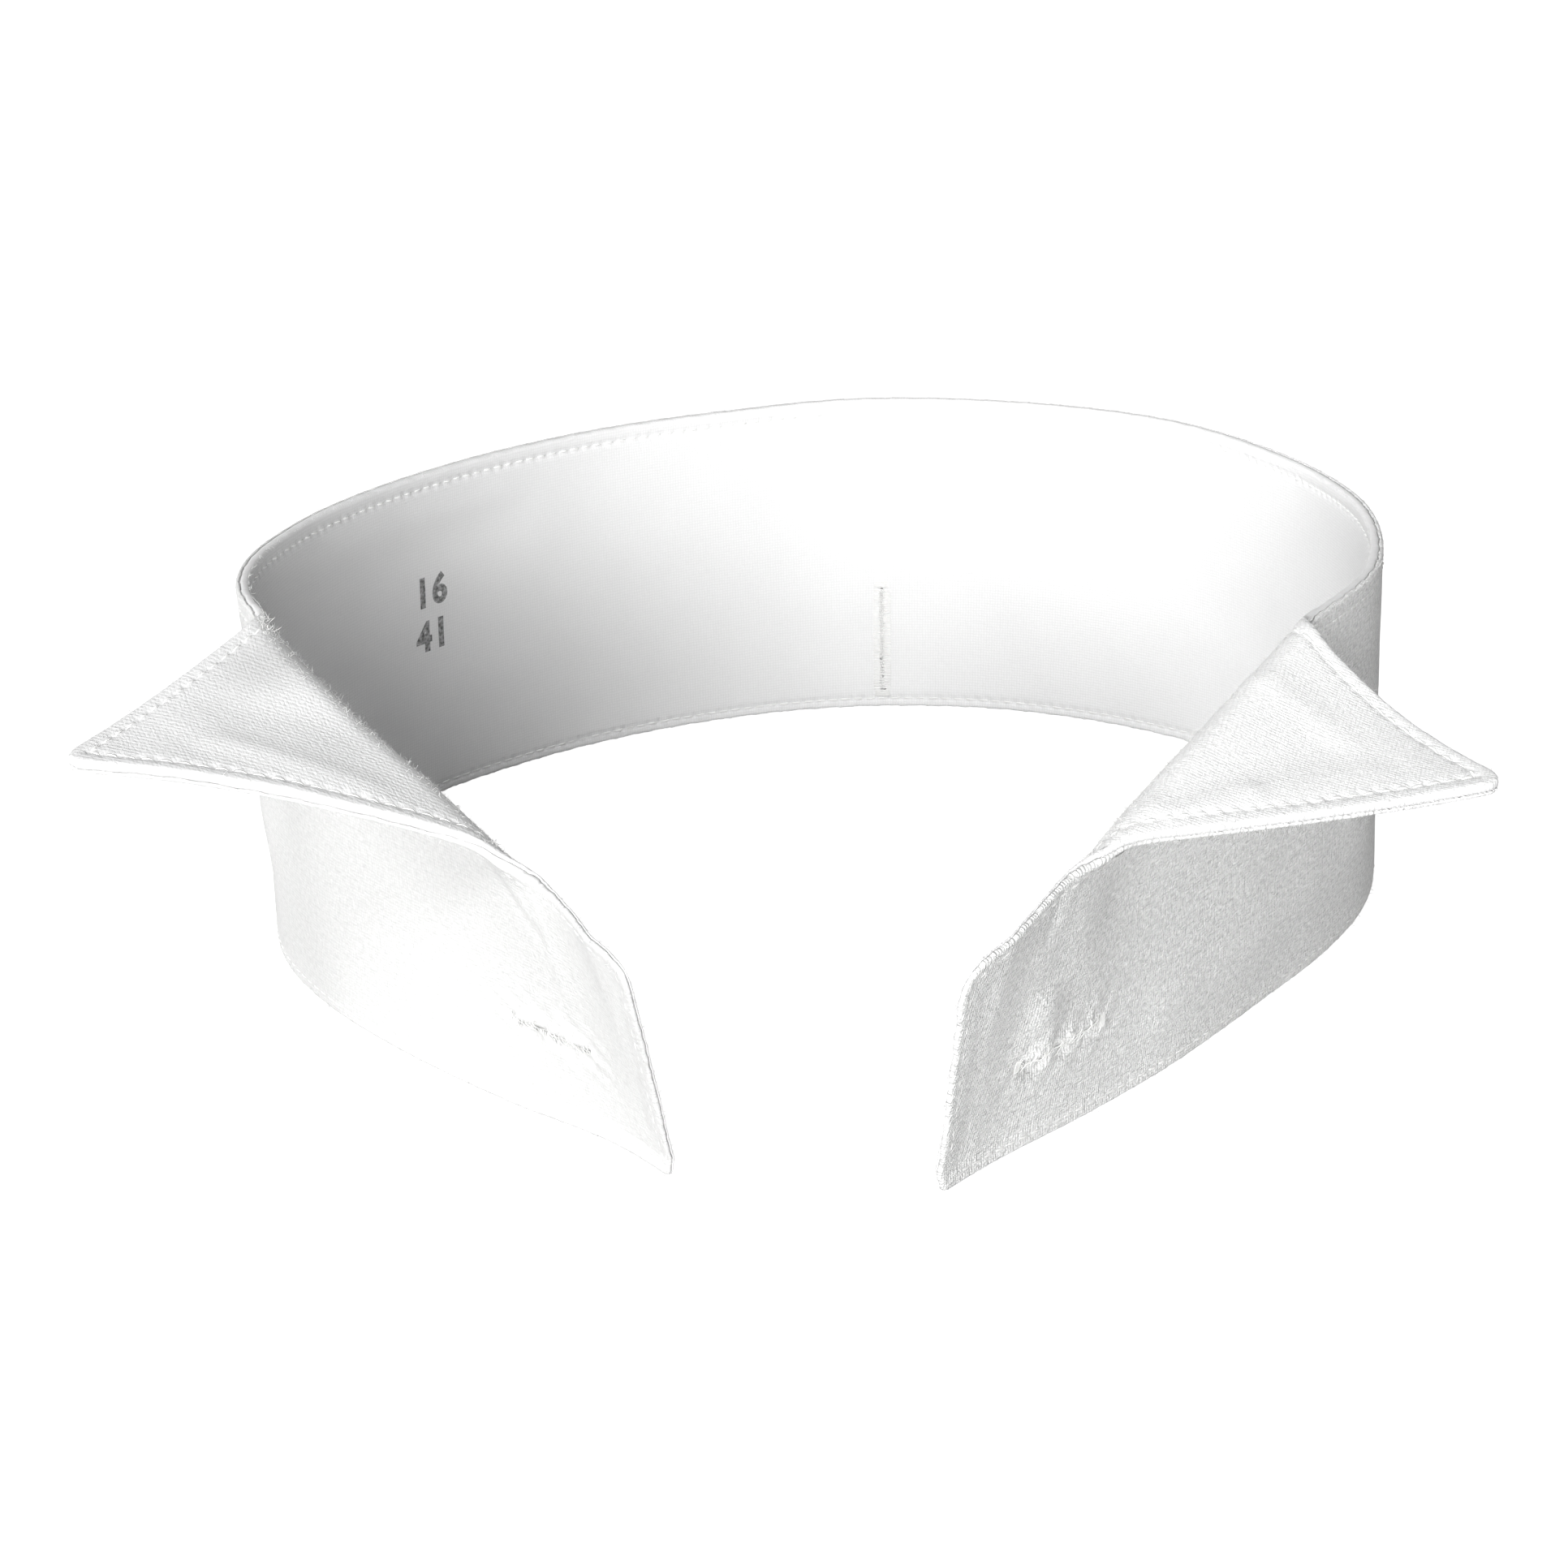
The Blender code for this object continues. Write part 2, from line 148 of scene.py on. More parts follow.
# %% Bend one half of the cut round the neck
class CollarHalf:
    """One half of the collar's middle surface, from the centre back to a front end."""

    def __init__(self, side, rows, fold):
        self.side, self.rows, self.fold = side, rows, fold
        self.lay_out_lower_edge()
        self.back = np.array(fold.back)
        self.length = np.linalg.norm(np.subtract(fold.front, fold.back))
        self.along_fold = np.subtract(fold.front, fold.back) / self.length
        self.over_fold = np.array([-self.along_fold[1], self.along_fold[0]])
        self.find_fold_frame()

    def lay_out_lower_edge(self):
        """Follow the lower edge forward in plan, adding up the turn."""
        self.stations = np.linspace(0.0, HALF_LENGTH, int(HALF_LENGTH) + 1)
        shares = [row.share for row in self.rows]
        turns = [row.turn_deg_per_cm for row in self.rows]
        turn = np.radians(np.interp(self.stations / HALF_LENGTH, shares, turns)) / 10.0
        step = np.diff(self.stations)
        self.heading = np.concatenate([[0.0], np.cumsum((turn[1:] + turn[:-1]) / 2 * step)])
        middle = (self.heading[1:] + self.heading[:-1]) / 2
        self.plan_x = np.concatenate([[0.0], np.cumsum(np.cos(middle) * step)])
        self.plan_y = np.concatenate([[0.0], np.cumsum(-np.sin(middle) * step)])

    def band(self, flat):
        """Place points of the flat cut on the standing band."""
        station, height = flat[..., 0] + HALF_LENGTH, flat[..., 1]
        beyond = np.maximum(station - HALF_LENGTH, 0.0)
        behind = np.minimum(station, 0.0)
        inside = np.clip(station, 0.0, HALF_LENGTH)
        heading = np.interp(inside, self.stations, self.heading)
        x = np.interp(inside, self.stations, self.plan_x) + beyond * np.cos(heading) + behind
        y = np.interp(inside, self.stations, self.plan_y) - beyond * np.sin(heading)
        share = inside / HALF_LENGTH
        lean = np.radians(smooth_column(self.rows, "lean_deg", share))
        lift = np.maximum(smooth_column(self.rows, "lift_mm", share), 0.0)
        leaning = np.maximum(height - FOOT_HEIGHT, 0.0)
        out = leaning * np.sin(lean)
        up = lift + np.minimum(height, FOOT_HEIGHT) + leaning * np.cos(lean)
        x = self.side * (x + out * np.sin(heading))
        return np.stack([x, y + out * np.cos(heading), up], axis=-1)

    def outward(self, flat, surface):
        """Normal of a surface, pointing away from the neck."""
        reach = 0.4
        forward = surface(flat + [reach, 0.0]) - surface(flat - [reach, 0.0])
        upward = surface(flat + [0.0, reach]) - surface(flat - [0.0, reach])
        return unit(-self.side * np.cross(forward, upward))

    def roll_width(self, t):
        share = np.clip(t / self.length, -0.2, 1.2)
        return self.fold.roll_back + (self.fold.roll_front - self.fold.roll_back) * share

    def roll_base(self, t):
        """Where the roll starts, in the flat cut, at distance t along the fold."""
        return self.back + t[:, None] * self.along_fold - self.roll_width(t)[:, None] * self.over_fold

    def find_fold_frame(self):
        """The straight frame that the turned-out point settles into beyond its roll."""
        base = self.roll_base(np.linspace(0.0, self.length, 9))
        placed = self.band(base)
        axis = unit(placed[-1] - placed[0])
        normal = self.outward(base, self.band).mean(axis=0)
        self.fold_out = unit(normal - normal.dot(axis) * axis)
        rise = np.cross(self.fold_out, axis)
        self.fold_up = rise * np.sign(rise[2])

    def place(self, flat):
        """Place points of the flat cut on the finished collar, rolling the point over."""
        t = (flat - self.back) @ self.along_fold
        rise = (flat - self.back) @ self.over_fold + self.roll_width(t)
        placed = self.band(flat)
        turned = (rise > 0) & (t > -14.0) & (t < self.length + ROLL_FADE)
        if turned.any():
            flattened = ease((t[turned] - self.length) / ROLL_FADE)[:, None]
            rolled = self.roll_over(t[turned], rise[turned])
            placed[turned] = rolled * (1.0 - flattened) + placed[turned] * flattened
        return placed

    def roll_over(self, t, rise):
        """Walk up the cloth from the roll's base, bending as it goes."""
        base = self.roll_base(t)
        out = self.outward(base, self.band)
        axis = unit(self.band(base + 0.5 * self.along_fold) - self.band(base - 0.5 * self.along_fold))
        up = np.cross(out, axis)
        up = up * np.sign(up[:, 2:3])
        steps = 24
        walked = rise[:, None] * ((np.arange(steps) + 0.5) / steps)
        roll = 2.0 * self.roll_width(t)[:, None]
        share = np.clip(walked / roll, 0.0, 1.0)
        lengthwise = np.clip(t / self.length, -0.3, 1.3) - 0.5
        angle = np.radians(self.fold.angle_deg + self.fold.twist_deg * lengthwise)
        angle = angle * (1.0 - ease((t - self.length) / ROLL_FADE))
        curl = np.radians(self.fold.curl_deg_per_cm) / 10.0
        bend = angle[:, None] * share + curl * np.maximum(walked - roll, 0.0)
        blend = ease(share)[..., None]
        along_up = unit(up[:, None] * (1 - blend) + self.fold_up * blend)
        along_out = out[:, None] * (1 - blend) + self.fold_out * blend
        along_out = unit(along_out - (along_out * along_up).sum(-1, keepdims=True) * along_up)
        heading = np.cos(bend)[..., None] * along_up + np.sin(bend)[..., None] * along_out
        return self.band(base) + heading.sum(axis=1) * (rise / steps)[:, None]


RIGHT = CollarHalf(1, RIGHT_BAND, RIGHT_FOLD)
LEFT = CollarHalf(-1, LEFT_BAND, LEFT_FOLD)


def to_half(cut):
    """Split whole-cut places (round, up) into (half, which rows, half's own flat places)."""
    for half in (RIGHT, LEFT):
        mine = cut[:, 0] >= 0 if half.side > 0 else cut[:, 0] < 0
        flat = np.column_stack([np.abs(cut[mine, 0]) - HALF_LENGTH, cut[mine, 1]])
        yield half, mine, flat


def stand_up(cut):
    """Middle surface and outward normals at whole-cut places, in millimetres."""
    cut = np.asarray(cut, dtype=float)
    place, normal = np.empty((len(cut), 3)), np.empty((len(cut), 3))
    for half, mine, flat in to_half(cut):
        if mine.any():
            place[mine] = half.place(flat) + CENTRE_BACK
            normal[mine] = half.outward(flat, half.place)
    return place, normal


ends = stand_up([(-HALF_LENGTH, 0.0), (HALF_LENGTH, 0.0)])[0]
print("gap between the front corners in mm:", round(float(np.linalg.norm(ends[1] - ends[0])), 1))

# %% [markdown]
# ## The outline of the cut
# The band's top edge, the wing and the slanted front edge are one outline. Its corners are
# softened a little, because a turned and pressed seam never keeps a sharp corner. The left and
# right halves mirror each other except for where the fold was pressed.

# %% Draw the outline and measure how far any place is from it
TAB_CORNER, POINT_TIP = (8.5, 32.6), (-47.7, 78.0)
FOOT_REACH, TAB_REACH = 0.8, 4.0
NOTCH_REACH, TIP_REACH, HEEL_REACH = 7.0, 4.2, 5.0
FRONT_SLIT = ((-25.4, 12.8), (-10.7, 12.8))
BACK_SLIT = ((0.0, 3.0), (0.0, 19.5))
SLIT_HALF = 0.18


def rounded(corners, reaches, steps=9):
    """A closed outline through corners, each softened over its own reach."""
    outline = []
    for i, (corner, reach) in enumerate(zip(corners, reaches)):
        before, after = corners[i - 1], corners[(i + 1) % len(corners)]
        start = corner + unit(before - corner) * reach
        end = corner + unit(after - corner) * reach
        s = np.linspace(0.0, 1.0, steps)[:, None]
        outline.append((1 - s) ** 2 * start + 2 * s * (1 - s) * corner + s**2 * end)
    return np.concatenate(outline)


def half_corners(half):
    """Corners of one half from its front foot to its heel, in whole-cut places."""
    flat = np.array([(0.0, 0.0), TAB_CORNER, half.fold.front, POINT_TIP, half.fold.back])
    return np.column_stack([half.side * (flat[:, 0] + HALF_LENGTH), flat[:, 1]])


reach_list = [FOOT_REACH, TAB_REACH, NOTCH_REACH, TIP_REACH, HEEL_REACH]
OUTLINE = rounded(
    np.concatenate([half_corners(RIGHT), half_corners(LEFT)[::-1]]), reach_list + reach_list[::-1]
)


def to_segments(points, start, end):
    """Distance from each point to the nearest of some straight segments."""
    span = end - start
    nearest = np.full(len(points), np.inf)
    for a, d in zip(start, span):
        t = np.clip((points - a) @ d / max(d @ d, 1e-9), 0.0, 1.0)[:, None]
        nearest = np.minimum(nearest, np.linalg.norm(points - a - t * d, axis=1))
    return nearest


def inside_outline(points):
    x, y = points[:, 0], points[:, 1]
    crossed = np.zeros(len(points), dtype=bool)
    for a, b in zip(OUTLINE, np.roll(OUTLINE, -1, axis=0)):
        spans = (a[1] > y) != (b[1] > y)
        if a[1] != b[1]:
            crossed ^= spans & (x < (b[0] - a[0]) * (y - a[1]) / (b[1] - a[1]) + a[0])
    return crossed


def from_edge(points):
    """Millimetres in from the outline, less than nothing outside it."""
    distance = to_segments(points, OUTLINE, np.roll(OUTLINE, -1, axis=0))
    return np.where(inside_outline(points), distance, -distance)


def slit_ends():
    ends = [np.array(BACK_SLIT)]
    for side in (1, -1):
        flat = np.array(FRONT_SLIT)
        ends.append(np.column_stack([side * (flat[:, 0] + HALF_LENGTH), flat[:, 1]]))
    return ends


SLITS = slit_ends()


def from_slit(points):
    """Millimetres away from the nearest buttonhole's rim."""
    starts, stops = np.array([s[0] for s in SLITS]), np.array([s[1] for s in SLITS])
    return to_segments(points, starts, stops) - SLIT_HALF


x, y = OUTLINE.T
cut_area = 0.5 * abs(np.dot(x, np.roll(y, -1)) - np.dot(y, np.roll(x, -1))) * MM * MM

# %% [markdown]
# ## Rims that turn in
# At every edge a ply turns under itself, so its edge is a small half-round, and the seam between
# the two plies shows as a fine line. A rim is a loop of marks along the edge, carried inward in
# rows: each row is a distance in from the edge and a share of the ply's rise. The seam is pressed
# to the side that does not show, and a little ripple keeps the edge from looking machined.

# %% Walk along the outline in even steps
Rim = namedtuple("Rim", "inset_mm rise_share")
RIM_ROWS = [
    Rim(0.46, 1.00),
    Rim(0.24, 0.95),
    Rim(0.08, 0.78),
    Rim(0.00, 0.45),
    Rim(0.02, 0.16),
    Rim(0.22, 0.03),
    Rim(0.90, 0.03),
]
EDGE_STEP = 0.62


def even_steps(loop, step):
    """Points an even step apart round a closed loop, and the way inward at each."""
    closed = np.concatenate([loop, loop[:1]])
    run = np.concatenate([[0.0], np.cumsum(np.linalg.norm(np.diff(closed, axis=0), axis=1))])
    places = np.arange(0.0, run[-1], run[-1] / round(run[-1] / step))
    at = lambda s: np.column_stack([np.interp(s % run[-1], run, closed[:, k]) for k in (0, 1)])
    along = unit(at(places + 0.3) - at(places - 0.3))
    inward = np.column_stack([-along[:, 1], along[:, 0]])
    return at(places), inward


edge_points, edge_inward = even_steps(OUTLINE, EDGE_STEP)
if from_edge(edge_points[:1] + 0.5 * edge_inward[:1])[0] < 0:
    edge_inward = -edge_inward


def slit_loop(ends, step=0.3):
    """A loop round one slit with round ends, and the way into the cloth at each point."""
    along = unit(ends[1] - ends[0])
    across = np.array([-along[1], along[0]])
    turn = np.linspace(-np.pi / 2, np.pi / 2, 9)[:, None]
    cap = np.cos(turn) * along + np.sin(turn) * across
    count = round(np.linalg.norm(ends[1] - ends[0]) / step)
    s = np.linspace(0.0, 1.0, count)[1:-1, None]
    run = ends[1] - ends[0]
    points = [ends[1] + SLIT_HALF * cap, ends[1] - s * run + SLIT_HALF * across]
    inward = [cap, np.repeat(across[None], count - 2, axis=0)]
    points += [ends[0] - SLIT_HALF * cap, ends[0] + s * run - SLIT_HALF * across]
    inward += [-cap, np.repeat(-across[None], count - 2, axis=0)]
    return np.concatenate(points), np.concatenate(inward)


def ripple(places):
    """An uneven little wave, in millimetres, that does not repeat along an edge."""
    u, v = places.T
    waves = np.sin(1.3 * u + 0.9 * v) + 0.8 * np.sin(3.1 * u - 2.3 * v + 1.0)
    return 0.030 * (waves + 0.8 * np.sin(4.7 * u + 3.9 * v + 2.0) * np.sin(0.31 * u + 0.2))


def seam_share(places):
    """Where the seam lies through the edge: toward the outside on top, the inside below."""
    up = ease((places[:, 1] - 34.0) / 12.0)
    return 0.35 * (2.0 * up - 1.0) + 3.0 * ripple(places)


rims = [(edge_points, edge_inward)] + [slit_loop(ends) for ends in SLITS]
print("edge length in mm:", round(len(edge_points) * EDGE_STEP), "rim points:", sum(len(r[0]) for r in rims))

# %% [markdown]
# ## Filling the cut with triangles
# Cloth this stiff needs small faces where it bends or puckers and large ones where it is plain.
# The places are laid in staggered rows, finer toward the wings and buttonholes, with extra rows
# beside the edges for the topstitching, and Blender's triangulation joins them up.

# %% Choose the places and triangulate them
EDGE_ROWS = [0.72, 1.0, 1.3, 1.65, 2.0, 2.35, 2.7, 3.15, 3.75]
PLAIN_STEP, FRONT_STEP, SLIT_STEP = 1.5, 0.72, 0.36
FINE_FROM = HALF_LENGTH - 76.0


def staggered(low, high, step):
    rows = np.arange(low[1], high[1], step * 0.87)
    grid = [np.column_stack([np.arange(low[0] + (i % 2) * step / 2, high[0], step),
                             np.full(len(np.arange(low[0] + (i % 2) * step / 2, high[0], step)), v)])
            for i, v in enumerate(rows)]
    return np.concatenate(grid)


def fill_places():
    low, high = OUTLINE.min(axis=0), OUTLINE.max(axis=0)
    plain = staggered(low, high, PLAIN_STEP)
    front = staggered(low, high, FRONT_STEP)
    slit = staggered(low, high, SLIT_STEP)
    plain = plain[np.abs(plain[:, 0]) < FINE_FROM]
    front = front[np.abs(front[:, 0]) >= FINE_FROM]
    slit = slit[to_segments(slit, *map(np.array, zip(*SLITS))) < 5.0]
    grid = np.concatenate([plain, front])
    grid = grid[to_segments(grid, *map(np.array, zip(*SLITS))) > 5.2]
    grid = np.concatenate([grid, slit])
    kept = [grid[(from_edge(grid) > 4.1) & (from_slit(grid) > 0.7)]]
    for inset in EDGE_ROWS:
        row = edge_points + edge_inward * inset
        kept.append(row[(from_edge(row) > inset - 0.03) & (from_slit(row) > 0.7)])
    return np.concatenate(kept)


def triangulate():
    """Face places of a ply, triangles between them, and each rim's first row as place numbers."""
    loops = [points + inward * RIM_ROWS[0].inset_mm for points, inward in rims]
    fixed = np.concatenate(loops)
    places = np.concatenate([fixed, fill_places()])
    edges, start = [], 0
    for loop in loops:
        count = len(loop)
        edges += [(start + i, start + (i + 1) % count) for i in range(count)]
        start += count
    made = geometry.delaunay_2d_cdt([Vector(p) for p in places], edges, [], 1, 1e-5, True)
    out = np.array([v[:] for v in made[0]])
    faces = np.array([f for f in made[2] if len(f) == 3])
    centre = out[faces].mean(axis=1)
    a, b, c = (out[faces[:, k]] for k in range(3))
    longest = np.max([np.linalg.norm(p - q, axis=1) for p, q in ((a, b), (b, c), (c, a))], axis=0)
    height = np.abs((b - a)[:, 0] * (c - a)[:, 1] - (b - a)[:, 1] * (c - a)[:, 0]) / longest
    faces = faces[(from_slit(centre) > 0.05) & (from_edge(centre) > 0.2) & (height > 0.01)]
    number = {}
    for new, olds in enumerate(made[3]):
        for old in olds:
            number[old] = new
    first_rows, start = [], 0
    for loop in loops:
        first_rows.append([number[start + i] for i in range(len(loop))])
        start += len(loop)
    return out, faces, first_rows


face_places, face_triangles, first_rows = triangulate()
print("places:", len(face_places), "triangles:", len(face_triangles))

# %% [markdown]
# ## Creases and pressed places
# Starched cotton keeps each knock it gets. The main creases are put in as soft troughs
# and ridges, each one a line on the flat cut with a width and a depth, and both plies follow
# them. A very low wave over the whole band keeps it from looking machined.

# %% Shape both plies share
Crease = namedtuple("Crease", "side start end width_mm height_mm")
CREASES = [
    Crease(-1, (-22.5, 33.5), (-17.0, 29.0), 1.0, 0.16),
    Crease(-1, (-21.5, 31.0), (-15.5, 26.5), 1.1, -0.14),
    Crease(-1, (-15.0, 31.0), (-13.0, 20.0), 1.2, 0.12),
    Crease(-1, (-46.0, 60.0), (-34.0, 47.0), 2.2, -0.28),
    Crease(-1, (-55.0, 58.0), (-45.0, 46.0), 4.0, 0.24),
    Crease(-1, (-56.0, 60.5), (-52.0, 62.5), 4.0, -0.20),
    Crease(1, (-25.5, 43.1), (-33.5, 50.6), 1.5, -0.24),
    Crease(1, (-33.5, 50.6), (-43.5, 62.6), 1.9, -0.15),
    Crease(1, (-29.0, 42.5), (-45.0, 56.0), 3.2, 0.22),
    Crease(1, (-52.3, 47.6), (-47.8, 58.6), 2.5, -0.20),
    Crease(1, (-52.0, 60.0), (-47.0, 68.0), 2.6, -0.10),
    Crease(1, (2.6, 28.0), (-3.0, 3.0), 1.5, -0.16),
    Crease(1, (-10.5, 35.5), (-9.2, 30.5), 0.9, -0.18),
    Crease(1, (-12.8, 35.2), (-11.8, 30.5), 1.2, 0.10),
    Crease(1, (-12.5, 19.5), (-13.5, 16.0), 3.0, 0.60),
    Crease(1, (-9.5, 27.0), (-12.0, 20.0), 3.4, 0.32),
    Crease(1, (-17.5, 26.0), (-20.0, 17.5), 6.0, 0.34),
    Crease(1, (-13.0, 24.0), (-20.0, 17.5), 2.4, -0.16),
    Crease(-1, (5.0, 29.0), (-2.5, 6.0), 1.1, -0.16),
    Crease(1, (-98.0, 12.5), (-40.0, 8.5), 3.4, 0.36),
    Crease(1, (-84.0, 18.5), (-26.0, 29.0), 5.0, -0.42),
    Crease(1, (-150.0, 38.0), (-120.0, 34.0), 6.0, 0.20),
    Crease(-1, (-118.0, 14.0), (-88.0, 10.0), 5.0, -0.30),
    Crease(-1, (-108.0, 22.0), (-84.0, 19.0), 4.0, 0.25),
    Crease(-1, (-160.0, 43.5), (-76.0, 43.5), 1.6, -0.14),
    Crease(-1, (-160.0, 40.0), (-125.0, 38.0), 5.0, 0.25),
]
PUCKER_REACH, PUCKER_HEIGHT = 4.0, 0.24
LIP_RISE, LIP_HOLLOW = 0.60, 0.50


def creased(cut):
    """How far the cloth's middle stands out of its smooth shape, in millimetres."""
    u, v = cut.T
    height = 0.10 * np.sin(u / 9.0 + 0.6 * np.sin(v / 8.0)) * np.sin(v / 11.0 + 1.3)
    height += 0.05 * np.sin(u / 3.7 + v / 5.1) * np.sin(v / 4.3 - u / 13.0)
    fade = ease((from_edge(cut) + 0.5) / 3.0)
    for crease in CREASES:
        ends = np.array([crease.start, crease.end])
        ends = np.column_stack([crease.side * (ends[:, 0] + HALF_LENGTH), ends[:, 1]])
        away = to_segments(cut, ends[:1], ends[1:])
        height += fade * crease.height_mm * np.exp(-((away / crease.width_mm) ** 2))
    return height


def puckered(cut):
    """Washing has drawn the buttonholes up: low hills round them, and a ragged upper lip."""
    away = from_slit(cut)
    u, v = cut.T
    wave = np.sin(1.3 * u + 0.8 * v) + 0.7 * np.sin(1.1 * u - 1.9 * v + 2.0)
    front = np.where(np.abs(u) > 60.0, 1.0, 0.12)
    hills = front * PUCKER_HEIGHT * 0.5 * wave * np.exp(-((away / PUCKER_REACH) ** 2))
    start, stop = FRONT_SLIT[0][0], FRONT_SLIT[1][0]
    along, over = np.abs(u) - HALF_LENGTH, v - FRONT_SLIT[0][1]
    worn = ease((along - start + 1.2) / 2.4) * ease((stop + 1.2 - along) / 2.4)
    torn = 0.75 + 0.40 * np.sin(0.9 * u + 0.7) + 0.30 * np.sin(2.3 * u + 1.7 * v) * np.sin(0.7 * u)
    lip = LIP_RISE * np.exp(-(((over - 1.10) / 0.90) ** 2))
    hollow = LIP_HOLLOW * np.exp(-(((over + 1.25) / 1.10) ** 2))
    return hills + worn * torn * (lip - hollow)


# %% Thickness of each ply's face over the middle
HALF_CLOTH, PRESSED_CLOTH = 0.82, 0.44
STITCH_PITCH = 2.05
LOWER_INSET, FRONT_INSET, UPPER_INSET = 1.4, 1.4, 2.1
HEM_SWELL = 0.03
Pull = namedtuple("Pull", "line_mm hole_mm")
PULLS = {1: Pull(0.01, 0.04), -1: Pull(0.035, 0.34)}


def stitch_inset(points):
    """How far in from the edge the topstitching runs: close to the lower edge, wider above."""
    up = ease(points[:, 1] / 8.0)
    tab = ease((np.abs(points[:, 0]) - HALF_LENGTH + 24.0) / 14.0)
    upper = UPPER_INSET + (FRONT_INSET - UPPER_INSET) * tab
    return LOWER_INSET + (upper - LOWER_INSET) * up


def stitch_holes():
    """Needle holes an even pitch apart, on a line set in from the outline."""
    inset = stitch_inset(edge_points)
    row = edge_points + edge_inward * inset[:, None]
    row = row[from_edge(row) > inset - 0.05]
    return even_steps(row, STITCH_PITCH)[0]


holes = stitch_holes()
hole_tree = kdtree.KDTree(len(holes))
for i, (u, v) in enumerate(holes):
    hole_tree.insert((u, v, 0.0), i)
hole_tree.balance()


def half_thickness(cut):
    pressed = ease((np.abs(cut[:, 0]) - HALF_LENGTH + 19.0) / 12.0)
    return HALF_CLOTH + (PRESSED_CLOTH - HALF_CLOTH) * pressed


def face_rise(cut, layer):
    """Height of a ply's outer face over the collar's middle, stitching line and all."""
    edge, inset = from_edge(cut), stitch_inset(cut)
    pull = PULLS[layer]
    rise = half_thickness(cut)
    rise = rise + HEM_SWELL * ease(edge / 0.8) * ease((inset - 0.2 - edge) / 0.8)
    rise = rise - pull.line_mm * np.exp(-(((edge - inset) / 0.40) ** 2))
    for i in np.flatnonzero(np.abs(edge - inset) < 1.4):
        gap = hole_tree.find((cut[i, 0], cut[i, 1], 0.0))[2]
        rise[i] -= pull.hole_mm * np.exp(-((gap / 0.42) ** 2))
    return rise


print("needle holes:", len(holes))


# %% [markdown]
# ## Cotton, thread and ink
# Starched collar cotton is a plain weave that shows only as a fine grain, a little over two
# threads to the millimetre, with some threads thicker than others. The weave is worked out in the
# flat cut, so that its lines follow the cloth round the neck and over the fold.

# %% Materials
def new_material(name, colour, roughness, sheen=0.0):
    material = bpy.data.materials.new(name)
    material.use_nodes = True
    shader = material.node_tree.nodes["Principled BSDF"]
    shader.inputs["Base Color"].default_value = (*colour, 1.0)
    shader.inputs["Roughness"].default_value = roughness
    shader.inputs["Sheen Weight"].default_value = sheen
    shader.inputs["Sheen Roughness"].default_value = 0.6
    shader.inputs["Specular IOR Level"].default_value = 0.25
    return material, shader


class Wiring:
    """Short way to add nodes: each call makes one node, links its inputs and gives its output."""

    def __init__(self, material):
        self.tree = material.node_tree

    def add(self, kind, output=0, inputs=None, **settings):
        node = self.tree.nodes.new(kind)
        for key, value in settings.items():
            setattr(node, key, value)
        for key, value in (inputs or {}).items():
            if isinstance(value, bpy.types.NodeSocket):
                self.tree.links.new(value, node.inputs[key])
            else:
                node.inputs[key].default_value = value
        return node.outputs[output]

    def sum(self, operation, a, b=0.0, c=0.0):
        return self.add("ShaderNodeMath", inputs={0: a, 1: b, 2: c}, operation=operation)

    def link(self, output, socket):
        self.tree.links.new(output, socket)


THREAD_PITCH = 0.43
CUT_SCALE = 500.0        # one side of the flat cut's map, in millimetres
DARKER_PATCH_PLACE = (86.7, 202.0, 0.0)    # a round patch of darker colour by the left fold's back end
